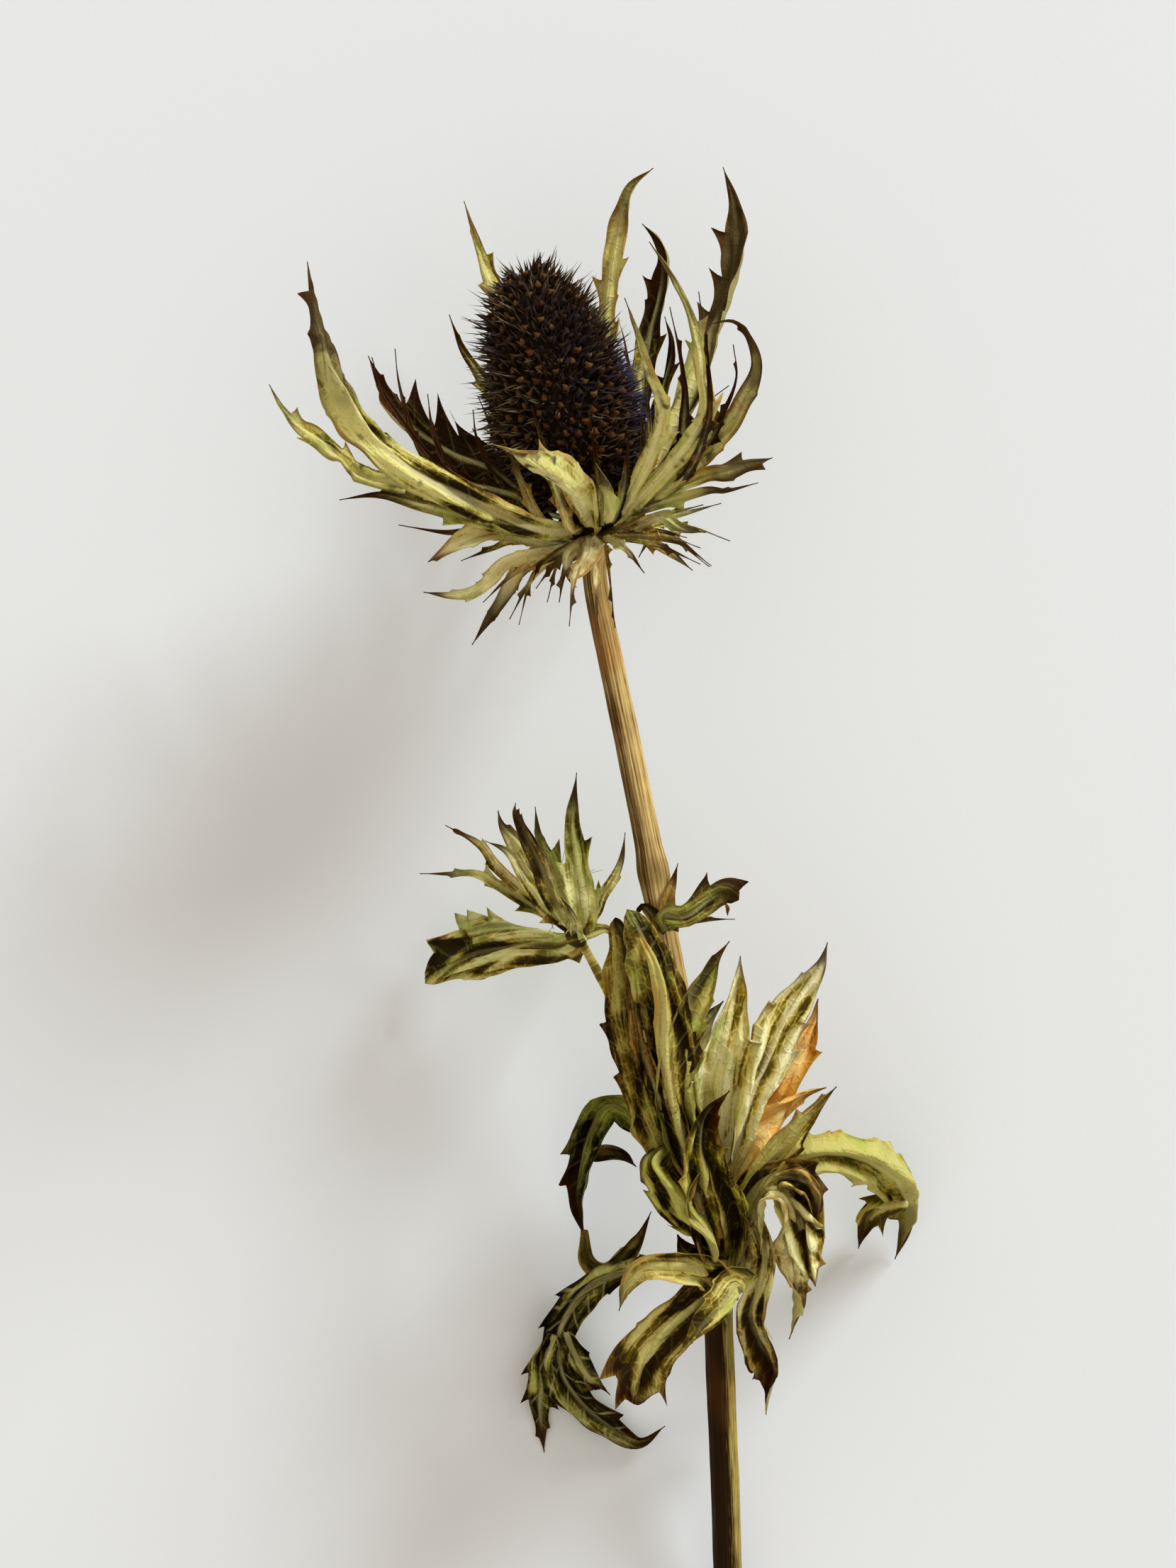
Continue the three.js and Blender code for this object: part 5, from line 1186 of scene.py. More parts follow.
def above_surface(points):
    """Lets what would dip into the surface lie on it: low heights flatten out."""
    points = np.array(points)
    height = points[:, 2]
    flattened = TOUCHING * np.exp(np.minimum(height - TOUCHING, 0) / TOUCHING)
    points[:, 2] = np.where(height < TOUCHING, flattened, height)
    return points


class Growth:
    """Collects sheets and tubes with their marks, and makes one mesh object of them."""

    def __init__(self, name):
        self.name = name
        self.points, self.faces, self.marks, self.places = [], [], {m: [] for m in MARKS}, []
        self.count = 0

    def take(self, points, faces, marks, places):
        self.points.append(points)
        self.faces.append(faces)
        for name in MARKS:
            values = np.broadcast_to(marks.get(name, 0.0), len(points))
            self.marks[name].append(values.astype(np.float32))
        self.places.append(places)
        self.count += len(points)

    def blade(self, given, points, seed):
        upper, lower, marks, places = blade_sheet(given, points, seed)
        rows, columns = upper.shape[:2]
        both = {m: np.concatenate([v.ravel(), v.ravel()]) for m, v in marks.items()}
        both["under"] = np.repeat([0.0, 1.0], rows * columns)
        self.take(np.vstack([upper.reshape(-1, 3), lower.reshape(-1, 3)]),
                  sheet_faces(rows, columns, self.count), both, np.vstack([places.reshape(-1, 2)] * 2))

    def tube(self, line, radii, shares, sides, marks):
        """A closed tube of the given radii at the given shares of a line."""
        t = np.asarray(shares, float)
        heading = line.heading(t)
        side = np.cross((0, 0, 1), heading)
        side /= np.linalg.norm(side, axis=1, keepdims=True)
        up = np.cross(heading, side)
        angle = np.linspace(0, 2 * np.pi, sides, endpoint=False)[None, :, None]
        ring = side[:, None, :] * np.cos(angle) + up[:, None, :] * np.sin(angle)
        body = line.at(t)[:, None, :] + ring * np.asarray(radii, float)[:, None, None]
        points = np.vstack([body.reshape(-1, 3), line.at(t[:1]), line.at(t[-1:])])
        grid = np.arange(len(t) * sides).reshape(len(t), sides) + self.count
        beyond = np.roll(grid, -1, axis=1)
        walls = np.stack((grid[:-1], beyond[:-1], beyond[1:], grid[1:]), axis=-1).reshape(-1, 4)
        first, last = self.count + len(t) * sides, self.count + len(t) * sides + 1
        caps = [(first, beyond[0, j], grid[0, j], grid[0, j]) for j in range(sides)]
        caps += [(last, grid[-1, j], beyond[-1, j], beyond[-1, j]) for j in range(sides)]
        length = np.concatenate([np.repeat(t * line.length, sides), [0, line.length]]) / MAP_SCALE
        places = np.stack([np.full_like(length, 0.5), length], axis=-1)
        self.take(points, np.vstack([walls, caps]), marks, places)

    def make(self, material):
        points = above_surface(np.vstack(self.points)) * MM
        faces = [tuple(dict.fromkeys(f)) for f in np.vstack(self.faces).tolist()]
        mesh = bpy.data.meshes.new(self.name)
        mesh.from_pydata(points.tolist(), [], faces)
        for name in MARKS:
            layer = mesh.attributes.new(name, "FLOAT", "POINT")
            layer.data.foreach_set("value", np.concatenate(self.marks[name]))
        corner_points = np.zeros(len(mesh.loops), np.int32)
        mesh.loops.foreach_get("vertex_index", corner_points)
        layer = mesh.uv_layers.new(name="sheet")
        layer.data.foreach_set("uv", np.vstack(self.places)[corner_points].astype(np.float32).ravel())
        mesh.polygons.foreach_set("use_smooth", np.ones(len(mesh.polygons), bool))
        mesh.materials.append(material)
        mesh.update()
        return put(self.name, mesh)


def dress(piece, node):
    """The piece stands for its solid, which is hidden, and rides with the flower."""
    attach(piece, BODY)
    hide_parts(node)
    triangles = sum(len(p.vertices) - 2 for p in piece.data.polygons)
    print(f"{piece.name}: {triangles} triangles for {node}")


print("each point will carry", ", ".join(MARKS))

# %% [markdown]
# ## The ruff of bracts
# Around the foot of the cone stands a ring of large bracts, each with a few long spines, bent up,
# out or down to the surface. Their routes are listed one by one, because no two are alike. Like
# those of the solid, each starts inside the small disc that they all grow on. The collar under it
# is made the same way.

# %% Bracts on a disc
DISC_SHARES = (0, 0.08, 0.25, 0.5, 0.75, 0.92, 1)
DISC_ROUNDING = (0.84, 0.93, 1, 1.02, 1, 0.93, 0.84)
DISC_SIDES = 28
DISC_LOOK = dict(tone=-0.6, scorch=0.6, reach_tip=0.5)


def from_axis(point):
    """The part of a vector that points away from the cone's axis."""
    return point - (point @ CONE_AXIS) * CONE_AXIS


def bract_route(route, disc):
    """The part of a given route outside the disc, with a foot that runs into the disc."""
    points = np.array(route, float)
    beside = [p for p in points if np.linalg.norm(from_axis(p)) > disc["rim"] + PAST_RIM]
    out = unit(from_axis(beside[0]))
    middle = CONE_AXIS * (disc["low"] + disc["high"]) / 2
    foot = [middle + out * disc["radius"] * ROOT_DEPTH, middle + out * disc["rim"]]
    return np.array([*foot, *beside]) + HEAD_BASE


def bunch(name, blades, disc, crumple, seed):
    """Many bracts and the disc they grow on, a low rounded drum on the stem's end."""
    growth = Growth(name)
    line = Line([HEAD_BASE + CONE_AXIS * disc["low"], HEAD_BASE + CONE_AXIS * disc["high"]])
    growth.tube(line, disc["radius"] * np.array(DISC_ROUNDING), DISC_SHARES, DISC_SIDES, DISC_LOOK)
    for number, blade in enumerate(blades):
        given = {"crumple": crumple, **blade}
        growth.blade(given, bract_route(blade["route"], disc), seed + number)
    return growth


slim_bracts = [{"slim": 0.85, "hue": -0.3, **bract} for bract in RUFF_BRACTS]
ruff = bunch("spiny_ruff", slim_bracts, RUFF, 0.8, 100)
dress(ruff.make(FINISHES["ruff"]), "ruff_of_bracts")
collar = bunch("small_collar", COLLAR_BRACTS, COLLAR, 0.6, 200)
dress(collar.make(FINISHES["collar"]), "collar_of_bracts")

# %% [markdown]
# Between the large bracts stand narrow ones, hardly wider than a spine. They do follow a rule,
# so they are drawn at random round the axis: some rise close to the cone, the others bend back
# under the ruff. Eight dark spines that stand out against the cone and the pale bracts are
# listed one by one, because a rule would hardly put them where they are.

# %% Narrow bracts
NARROW = dict(jitter=0.35, sway=3, spine=0.8, left=(0.3, 0.7), right=(0.3, 0.8), tone=(-0.5, 0.7),
              scorch=(0.3, 0.8))
side_x = unit(np.cross((0, 0, 1), CONE_AXIS))
side_y = np.cross(CONE_AXIS, side_x)


def narrow_bracts(disc, count, reach, rise, width, seed):
    """Bracts that end so many mm outside the disc's rim and so many up the axis, in three ranges."""
    rng = np.random.default_rng(seed)
    level = CONE_AXIS * (disc["low"] + disc["high"]) / 2
    blades = []
    for number in range(count):
        turn = 2 * math.pi * (number + rng.uniform(-NARROW["jitter"], NARROW["jitter"])) / count
        out = math.cos(turn) * side_x + math.sin(turn) * side_y
        aside = np.cross(CONE_AXIS, out) * rng.uniform(-NARROW["sway"], NARROW["sway"])
        far, up = rng.uniform(*reach), rng.uniform(*rise)
        route = [level + out * (disc["rim"] + 1.5) + CONE_AXIS * 0.05 * up,
                 level + out * (disc["rim"] + 0.6 * far) + CONE_AXIS * 0.35 * up + aside * 0.4,
                 level + out * (disc["rim"] + far) + CONE_AXIS * up + aside]
        blades.append(dict(width=rng.uniform(*width), spine=NARROW["spine"],
                           left=[rng.uniform(*NARROW["left"])], right=[rng.uniform(*NARROW["right"])],
                           tone=rng.uniform(*NARROW["tone"]), scorch=rng.uniform(*NARROW["scorch"]),
                           route=route))
    return blades


DARK_SPINES = [  # width, tone, hue and route
    (1.3, -0.5, 0.9, [(12, 3, 8), (14.8, 9.5, 19), (14.6, 17, 23), (13.6, 25, 22)]),
    (1.7, -1.0, 0.2, [(11, 5, 6), (12, 11, 17), (11.5, 16, 23), (10, 22.9, 24)]),
    (1.5, -0.9, 0.3, [(14, 6, 9), (17, 11, 17), (18.4, 15, 18), (18, 19, 18)]),
    (1.2, -0.8, 0.5, [(12, 8, 12), (15, 12, 16), (17.5, 14, 17)]),
    (1.3, -0.3, 0.9, [(-14, 1, 8), (-20, 5, 11), (-22.3, 9.5, 12), (-23.8, 15, 11), (-24.4, 19.5, 9)]),
    (1.2, -0.6, 0.5, [(-18, 4, 12), (-24, 11, 14), (-26, 14.5, 13), (-27.2, 18.2, 11)]),
    (1.8, -1.0, 0.2, [(-9, 1, 5), (-15, 2.5, 8), (-17.6, 4.5, 9), (-19.6, 9, 8), (-20.4, 14.1, 6)]),
    (1.4, -0.9, 0.2, [(-9, 2, 5), (-12, 4.5, 8), (-14, 8, 8), (-14.6, 12, 7)]),
]
SPINE_SHAPE = dict(belly=0.3, spine=1.2, left=[0.4], right=[0.6], scorch=0.7)
dark_spines = [dict(SPINE_SHAPE, width=width, tone=tone, hue=hue, route=route)
               for width, tone, hue, route in DARK_SPINES]
rising = narrow_bracts(RUFF, 15, (4, 7), (9, 19), (0.9, 1.8), 31)
inner = bunch("narrow_bracts", rising + dark_spines, RUFF, 0.5, 130)
dress(inner.make(FINISHES["ruff"]), "ruff_of_bracts")
bent_back = narrow_bracts(COLLAR, 30, (8, 16), (-10, 0), (0.4, 1.1), 32)
hairs = bunch("hair_bracts", bent_back, COLLAR, 0.5, 230)
dress(hairs.make(FINISHES["collar"]), "collar_of_bracts")

# %% [markdown]
# ## Leaves of the lower joint and the strap leaf
# Nine leaves grow from the lower joint, each split into lobes. Most lobes part from one short
# foot beside the stem, and a branch lobe starts on another lobe. They dried crumpled, so their
# margins ripple more than those of the bracts. The small strap leaf at the upper joint is made
# the same way, and is less crumpled.

# %% Leaves
LEAF_SLOTS = dict(leaf_pale_right="leaf_pale", leaf_dark_back="leaf_dark", leaf_lying_left="leaf_lying")


def leaf_growth(name, leaf, seed):
    growth = Growth(name)
    foot = beside_stem(LOWER_JOINT, leaf["around"], leaf["along"], BESIDE)
    for number, lobe in enumerate(leaf["lobes"]):
        points = [p + LOWER_JOINT for p in np.array(lobe["route"], float)]
        if not lobe.get("branch"):
            points = [foot, *points]
        growth.blade(lobe, points, seed + number)
    return growth


for number, (name, leaf) in enumerate(LEAVES.items()):
    slot = LEAF_SLOTS.get(name, name)
    crumpled = leaf_growth("crumpled_" + name, leaf, 300 + 10 * number)
    dress(crumpled.make(FINISHES[slot]), name)

strap = Growth("pale_strap_leaf")
strap_away = STEM_RADIUS[0] + GAP + BLADE_SOLID
strap_foot = beside_stem(UPPER_JOINT, STRAP_FOOT["around"], STRAP_FOOT["along"], strap_away)
for number, blade in enumerate(STRAP_BLADES):
    points = [strap_foot, *(np.array(blade["route"], float) + UPPER_JOINT)]
    strap.blade({"crumple": 0.5, **blade}, points, 400 + number)
dress(strap.make(FINISHES["strap"]), "strap_leaf")

# %% [markdown]
# ## The side shoot
# A thin stalk leaves the lower joint and ends in a small crown, a swollen knot from which spiny
# leaves spread. Loose plant hairs curl between them. They are tubes along the same kind of curve,
# too fine for a bump map, because they show against the pale surface.

# %% Side shoot
CROWN_AXIS = unit([-0.3, 1, 0])
CROWN_PROFILE = [(-1.67, 0.6), (-0.84, 1.5), (0.84, 1.5), (1.98, 0.7)]  # mm along and its radius
FIBRES = dict(count=16, seed=610, middle=SHOOT_CROWN + np.array([-1, 5, 3]), spread=(3.2, 5.5, 2),
              reach=(2, 5), curl=0.45)
FIBRE_RADIUS = 0.045
FIBRE_TAPER = 0.025
FIBRE_LOOK = dict(tone=-0.6, scorch=1.0, reach_tip=0.6)


def curled_fibres(growth):
    """Loose plant hairs, finer than a tenth of a millimetre, that curl between the blades."""
    rng = np.random.default_rng(FIBRES["seed"])
    shares = np.linspace(0, 1, 12)
    radii = FIBRE_RADIUS - FIBRE_TAPER * shares
    for _ in range(FIBRES["count"]):
        start = FIBRES["middle"] + rng.uniform(-1, 1, 3) * FIBRES["spread"]
        ahead = unit(rng.normal(size=3) * (1, 1, 0.4))
        aside = unit(np.cross(ahead, rng.normal(size=3)))
        reach = rng.uniform(*FIBRES["reach"])
        route = [start + reach * (u * ahead + FIBRES["curl"] * math.sin(4 * u) * aside)
                 for u in (0, 0.25, 0.5, 0.75, 1)]
        growth.tube(Line(route, 6), radii, shares, 4, FIBRE_LOOK)


def shoot_stalk(growth):
    away = BESIDE + SHOOT_STALK["clear"]
    foot = beside_stem(LOWER_JOINT, SHOOT_STALK["around"], SHOOT_STALK["along"], away)
    shares = np.linspace(0, 1, 90)
    uneven = 0.92 + 0.05 * np.sin(shares * 40) + 0.5 * np.exp(-shares * 14)
    growth.tube(Line([foot, *SHOOT_STALK["route"], SHOOT_CROWN]), SHOOT_STALK["radius"] * uneven,
                shares, 18, dict(tone=-0.2, scorch=0.1))


def shoot_crown(growth):
    first, last = CROWN_PROFILE[0][0], CROWN_PROFILE[-1][0]
    line = Line([SHOOT_CROWN + CROWN_AXIS * along for along in np.linspace(first, last, 4)])
    shares = np.linspace(0, 1, 14)
    radii = np.interp(first + shares * (last - first), *zip(*CROWN_PROFILE))
    growth.tube(line, radii, shares, 20, dict(tone=-0.4, scorch=0.5))


shoot = Growth("spiny_side_shoot")
for number, blade in enumerate(SHOOT_BLADES):
    points = np.array([(0, 0, 0), *blade["route"]], float) + SHOOT_CROWN
    shoot.blade({"crumple": 0.6, "hue": -0.35, **blade}, points, 500 + number)
shoot_stalk(shoot)
curled_fibres(shoot)
shoot_crown(shoot)
dress(shoot.make(FINISHES["shoot"]), "side_shoot")

# %% [markdown]
# ## The ribbed stem
# The stem is a dried stalk with nine blunt ribs and finer ones between them, a little thicker at
# its two joints. Its shape follows a rule, a ribbed outline carried along a curve, so Geometry
# Nodes make it: the route becomes a curve, its radius grows near each joint, and a star-shaped
# profile is swept along it. Fine lengthwise wrinkles come from noise read round and along the
# stalk, so that they run with the ribs. The coordinates round and along stay on the mesh for the
# material.

# %% Helpers for Geometry Nodes
def store(tree, geometry, name, value, domain="POINT"):
    """Keeps a value on each point under a name."""
    inputs = {"Geometry": geometry, "Name": name, "Value": value}
    return read(tree, "GeometryNodeStoreNamedAttribute", "Geometry", inputs,
                domain=domain, data_type="FLOAT")


def stored(tree, name, kind="FLOAT"):
    return read(tree, "GeometryNodeInputNamedAttribute", 0, {"Name": name}, data_type=kind)


def distance(tree, place, other):
    inputs = {0: place, 1: other}
    return read(tree, "ShaderNodeVectorMath", "Value", inputs, operation="DISTANCE")


def push(tree, geometry, way, far):
    """Moves each point along a vector, so many times its length."""
    inputs = {0: way, "Scale": far}
    offset = read(tree, "ShaderNodeVectorMath", 0, inputs, operation="SCALE")
    moved = {"Geometry": geometry, "Offset": offset}
    return read(tree, "GeometryNodeSetPosition", "Geometry", moved)


def round_and_along(around, along):
    """A place on a tube in which noise has no seam."""
    inputs = {0: around.math("COSINE"), 1: around.math("SINE"), 2: along}
    return read(around.tree, "ShaderNodeCombineXYZ", 0, inputs)


def grown(name, points, edges, tree, values=None, attributes=()):
    """Runs a Geometry Nodes tree on a few points and keeps the result as a plain mesh object."""
    mesh = bpy.data.meshes.new(name + "_source")
    mesh.from_pydata([tuple(p) for p in points], edges, [])
    for label, kind, data in attributes:
        layer = mesh.attributes.new(label, kind, "POINT")
        field_name = "vector" if kind == "FLOAT_VECTOR" else "value"
        layer.data.foreach_set(field_name, np.ravel(data).astype(np.float32))
    source = put(name + "_source", mesh)
    modifier = source.modifiers.new("grow", "NODES")
    modifier.node_group = tree
    sockets = {s.name: s.identifier for s in tree.interface.items_tree if s.in_out == "INPUT"}
    for label, value in (values or {}).items():
        modifier[sockets[label]] = value
    graph = bpy.context.evaluated_depsgraph_get()
    result = bpy.data.meshes.new_from_object(source.evaluated_get(graph), preserve_all_data_layers=True,
                                             depsgraph=graph)
    bpy.data.objects.remove(source)
    result.name = name
    return put(name, result)


print("a grown piece is a plain mesh, and its modifier is gone")

# %% Geometry Nodes: ribbed stem
STEM_STEPS = 300
STEM_SIDES = 138
FULL_GROWTH = 0.5  # share of the stem by which it has its foot's radius
WRINKLE_SCALE = 5.0
STEM_SIZES = {"Top radius": STEM_RADIUS[0] * MM, "Foot radius": STEM_RADIUS[1] * MM,
              "Joint swell": JOINT_SWELL * MM, "Rib depth": 0.035, "Ribs": 9.0, "Fine depth": 0.022,
              "Fine ribs": 23.0, "Wrinkle": 0.00006}


def near_joint(tree, place, joint):
    """1 at a joint, and falling to nothing a few millimetres from it."""
    ratio = distance(tree, place, joint).math("DIVIDE", JOINT_SPREAD * MM)
    return (ratio * ratio * -1.0).math("EXPONENT")


def stem_route(tree, given):
    """The route as a curve that knows its radius everywhere."""
    curve = read(tree, "GeometryNodeMeshToCurve", "Curve", {"Mesh": given["Route"]})
    curve = read(tree, "GeometryNodeResampleCurve", "Curve", {"Curve": curve, "Count": STEM_STEPS})
    share = read(tree, "GeometryNodeSplineParameter", "Factor")
    place = read(tree, "GeometryNodeInputPosition", 0)
    early = (share * (1 / FULL_GROWTH)).math("MINIMUM", 1.0)
    growth = (given["Foot radius"] - given["Top radius"]) * early
    swell = near_joint(tree, place, given["Upper joint"]) + near_joint(tree, place, given["Lower joint"])
    radius = given["Top radius"] + growth + swell * given["Joint swell"]
    for name, value in (("along", share), ("swell", swell), ("radius_here", radius)):
        curve = store(tree, curve, name, value)
    return curve


def stem_outline(tree, given):
    """A circle pushed out to blunt ribs that are a little uneven, with fine ones on them."""
    circle = {"Resolution": STEM_SIDES, "Radius": 1.0}
    ring = read(tree, "GeometryNodeCurvePrimitiveCircle", "Curve", circle)
    turn = read(tree, "GeometryNodeSplineParameter", "Factor") * (2 * math.pi)
    rib = (turn * given["Ribs"]).math("COSINE")
    uneven = (turn * 4.0 + 1.0).math("COSINE") * 0.5
    fine = (turn * given["Fine ribs"] + turn.math("SINE") * 2.0).math("COSINE")
    depth = (rib + uneven) * given["Rib depth"] + fine * given["Fine depth"]
    ring = push(tree, ring, read(tree, "GeometryNodeInputPosition", 0), depth)
    for name, value in (("around", turn), ("rib", rib), ("fine", fine)):
        ring = store(tree, ring, name, value)
    return ring


def stem_tree(bark):
    tree = bpy.data.node_groups.new("Ribbed stem", "GeometryNodeTree")
    new_socket(tree, "Route", "NodeSocketGeometry")
    for name, value in STEM_SIZES.items():
        new_socket(tree, name, "NodeSocketFloat", value)
    for name, joint in (("Upper joint", UPPER_JOINT), ("Lower joint", LOWER_JOINT)):
        new_socket(tree, name, "NodeSocketVector", tuple(joint * MM))
    new_socket(tree, "Stem", "NodeSocketGeometry", output=True)
    given = group_inputs(tree)

    swept = {"Curve": stem_route(tree, given), "Profile Curve": stem_outline(tree, given),
             "Scale": stored(tree, "radius_here"), "Fill Caps": True}
    stalk = read(tree, "GeometryNodeCurveToMesh", "Mesh", swept)
    swirl = round_and_along(stored(tree, "around"), stored(tree, "along") * 4.0)
    grain = noise(tree, swirl, WRINKLE_SCALE, 3.0)
    outwards = read(tree, "GeometryNodeInputNormal", 0)
    stalk = push(tree, stalk, outwards, (grain - 0.5) * (given["Wrinkle"] * 4.0))
    stalk = read(tree, "GeometryNodeSetShadeSmooth", "Geometry", {"Geometry": stalk})
    stalk = read(tree, "GeometryNodeRealizeInstances", "Geometry", {"Geometry": stalk})
    finished = {"Geometry": stalk, "Material": bark}
    add(tree, "NodeGroupOutput", {"Stem": read(tree, "GeometryNodeSetMaterial", "Geometry", finished)})
    return tree


print("the stem takes", list(STEM_SIZES))

# %% [markdown]
# The bark is straw on the ribs and dark brown in the furrows: partly its own colour, and partly
# painted light and shade that make the shallow ribs show. It is darker towards the foot and round
# the joints, with fine lengthwise fibres. The side away from the window is painted almost black
# with shade, most of all towards the foot, and the cut end shows pale wood.

# %% Bark of the stem
def dry_bark():
    material, tree, shader = bare_material("ribbed_bark", {"Specular IOR Level": 0.04})
    place = object_place(tree)
    around = mark(tree, "around")
    along = mark(tree, "along")
    fibres = noise(tree, round_and_along(around, along * 2.2), 13.0, 3.0, 0.6)
    patches = noise(tree, place, 130.0, 3.0, 0.6)
    lower = along.ramp(0.42, 0.66)
    # the ribs' own colour, and painted light on the ribs and painted shade in the furrows
    ridges = mark(tree, "rib") * 0.07 + mark(tree, "fine") * 0.09
    ridges = ridges * (1.0 - lower * 0.8)
    # painted shade on the side of the stalk away from the window, most of all towards the foot
    facing = around.math("COSINE") * -1.0 + (fibres - 0.5) * 0.5
    turned_away = (facing + lower * -0.5).ramp(0.3, -0.75)
    painted_side_shade = (lower * 0.6 + 0.4) * turned_away
    lit = ridges + fibres * 1.1 + patches * 0.7 - painted_side_shade * 0.75

    straw = blend(tree, lower, linear("dfc07a"), linear("c0a858"))
    brown = blend(tree, lower, linear("5a3c14"), linear("2a1a05"))
    colour = blend(tree, lit.ramp(0.45, 1.15), brown, straw)
    stained = noise(tree, place, 60.0, 2.0).ramp(0.52, 0.7) * 0.45
    colour = blend(tree, stained, colour, linear("a9672a"))
    # painted shade: the side away from the window goes almost black
    colour = blend(tree, painted_side_shade * 0.55, colour, linear("261703"))
    knot = mark(tree, "swell").ramp(0.2, 0.9) * 0.45
    colour = blend(tree, knot, colour, linear("5a3f16"))
    colour = blend(tree, along.ramp(0.9992, 1.0), colour, linear("b59a63"))
    fill(tree, shader.inputs["Base Color"], colour)
    fill(tree, shader.inputs["Roughness"], fibres * 0.3 + 0.3)
    emboss(tree, shader, fibres, 0.5, 0.0001)
    return material


route_points = stem_line.at(np.linspace(0, 1, STEM_STEPS)) * MM
route_edges = [(i, i + 1) for i in range(STEM_STEPS - 1)]
stalk = grown("ribbed_stalk", route_points, route_edges, stem_tree(dry_bark()))
for point in stalk.data.vertices:
    point.co.y = max(point.co.y, cad_bounds[0][1])
    point.co.z = max(point.co.z, LOWEST * MM)
dress(stalk, "stem")

# %% [markdown]
# ## The cone of florets
# The head is a cone of some hundreds of dry florets. Each is a small dark cup with a tan heart,
# five short spines and one longer spine under it. They sit in two families of spirals, as seeds do
# in a sunflower: each new floret turns by the golden angle and takes the next equal share of the
# surface. Modelling them one by one would be hopeless, and a bump would have no silhouette. So one
# floret is built, and Geometry Nodes set it on a cloud of points, turned outward, each a little
# different in size and tint.

# %% One floret
CUP_RINGS = [(0.0, 0.6, 0.0), (0.8, 0.85, 0.1), (1.45, 0.6, 0.2), (1.95, 0.42, 0.9), (2.15, 0.16, 1.0)]
HEART_UNEVEN = (1.5, 0.6, 1.3, 0.7, 1.0)
HEART_FROM = 0.5  # rings with more tint than this are the heart
SEPAL = dict(foot=1.3, start=0.6, out=1.5, tip=3.7, width=0.27, tint=-0.6)
LONG_SPINE = dict(foot=0.2, start=0.8, out=1.7, tip=5.5, width=0.24, tint=-1.0)


def floret_spine(angle, first, foot, start, out, tip, width, tint):
    """Points, faces and tints of a three-sided spine, whose points are counted from first."""
    ahead = np.array([math.cos(angle), math.sin(angle), 0])
    aside = np.array([-ahead[1], ahead[0], 0])
    spots = [ahead * start + aside * width, ahead * start - aside * width, ahead * (start - width)]
    points = [tuple(spot + np.array([0, 0, foot])) for spot in spots]
    points.append(tuple(ahead * out + np.array([0, 0, tip])))
    faces = [(first, first + 3, first + 1), (first + 1, first + 3, first + 2),
             (first + 2, first + 3, first), (first, first + 1, first + 2)]
    return points, faces, [0.0, 0.0, 0.0, tint]


def floret_cup(sides):
    """The cup in rings of height, radius and tint, in mm."""
    points, faces, tints = [], [], []
    for height, radius, tint in CUP_RINGS:
        for k in range(sides):
            angle = 2 * math.pi * k / sides
            spread = radius * HEART_UNEVEN[k] if tint > HEART_FROM else radius
            rise = 0.5 * (spread - radius)
            points.append((spread * math.cos(angle), spread * math.sin(angle), height + rise))
            tints.append(tint)
    for ring in range(len(CUP_RINGS) - 1):
        for k in range(sides):
            a, b = ring * sides + k, ring * sides + (k + 1) % sides
            faces.append((a, b, b + sides, a + sides))
    faces.append(tuple(range(sides))[::-1])
    faces.append(tuple(range(len(points) - sides, len(points))))
    return points, faces, tints


def floret_mesh(sides=5):
    """A dark cup with a tan heart, five short spines and a long one, +Z outward, in metres."""
    points, faces, tints = floret_cup(sides)
    spines = [(2 * math.pi * (k + 0.5) / sides, SEPAL) for k in range(sides)]
    for angle, shape in [*spines, (-math.pi / 2, LONG_SPINE)]:
        more = floret_spine(angle, len(points), **shape)
        for whole, part in zip((points, faces, tints), more):
            whole.extend(part)
    mesh = bpy.data.meshes.new("floret")
    mesh.from_pydata([tuple(c * MM for c in p) for p in points], [], faces)
    layer = mesh.attributes.new("tint", "FLOAT", "POINT")
    layer.data.foreach_set("value", np.array(tints, np.float32))
    mesh.update()
    return mesh


one_floret = floret_mesh()
print("one floret has", len(one_floret.vertices), "points")

# %% Places of the florets
FLORETS = 400
FLORET_FIRST = 0.03
FLORET_LAST = 0.985
FLORET_DEPTH = 0.9  # mm that a floret's foot lies under the cone's surface
FLORET_LEAN = (0.25, 1.5)  # towards the cone's top: everywhere, and more in the upper half
LEAN_FROM = 0.45
FLORET_SIZES = ([0, 0.1, 0.25, 0.8, 1], [0.5, 0.8, 1.0, 0.95, 0.75])  # by the share of the cone
GOLDEN_ANGLE = math.pi * (3 - math.sqrt(5))
TOP_CROWDING = 1.2  # mm of radius added, so that the thin top gets florets too


def cone_radius(t):
    """Radius of the cone at a share of its length."""
    t = np.asarray(t, float)
    belly = CONE_ROOT + (1 - CONE_ROOT) * np.sin(np.pi / 2 * np.minimum(t / CONE_BELLY, 1))
    taper = 1 - CONE_TAPER * np.clip((t - TAPER_FROM) / (1 - TAPER_FROM), 0, 1)
    return CONE_RADIUS * taper * belly * np.sqrt(np.maximum(1 - t**CONE_BLUNTNESS, 0))


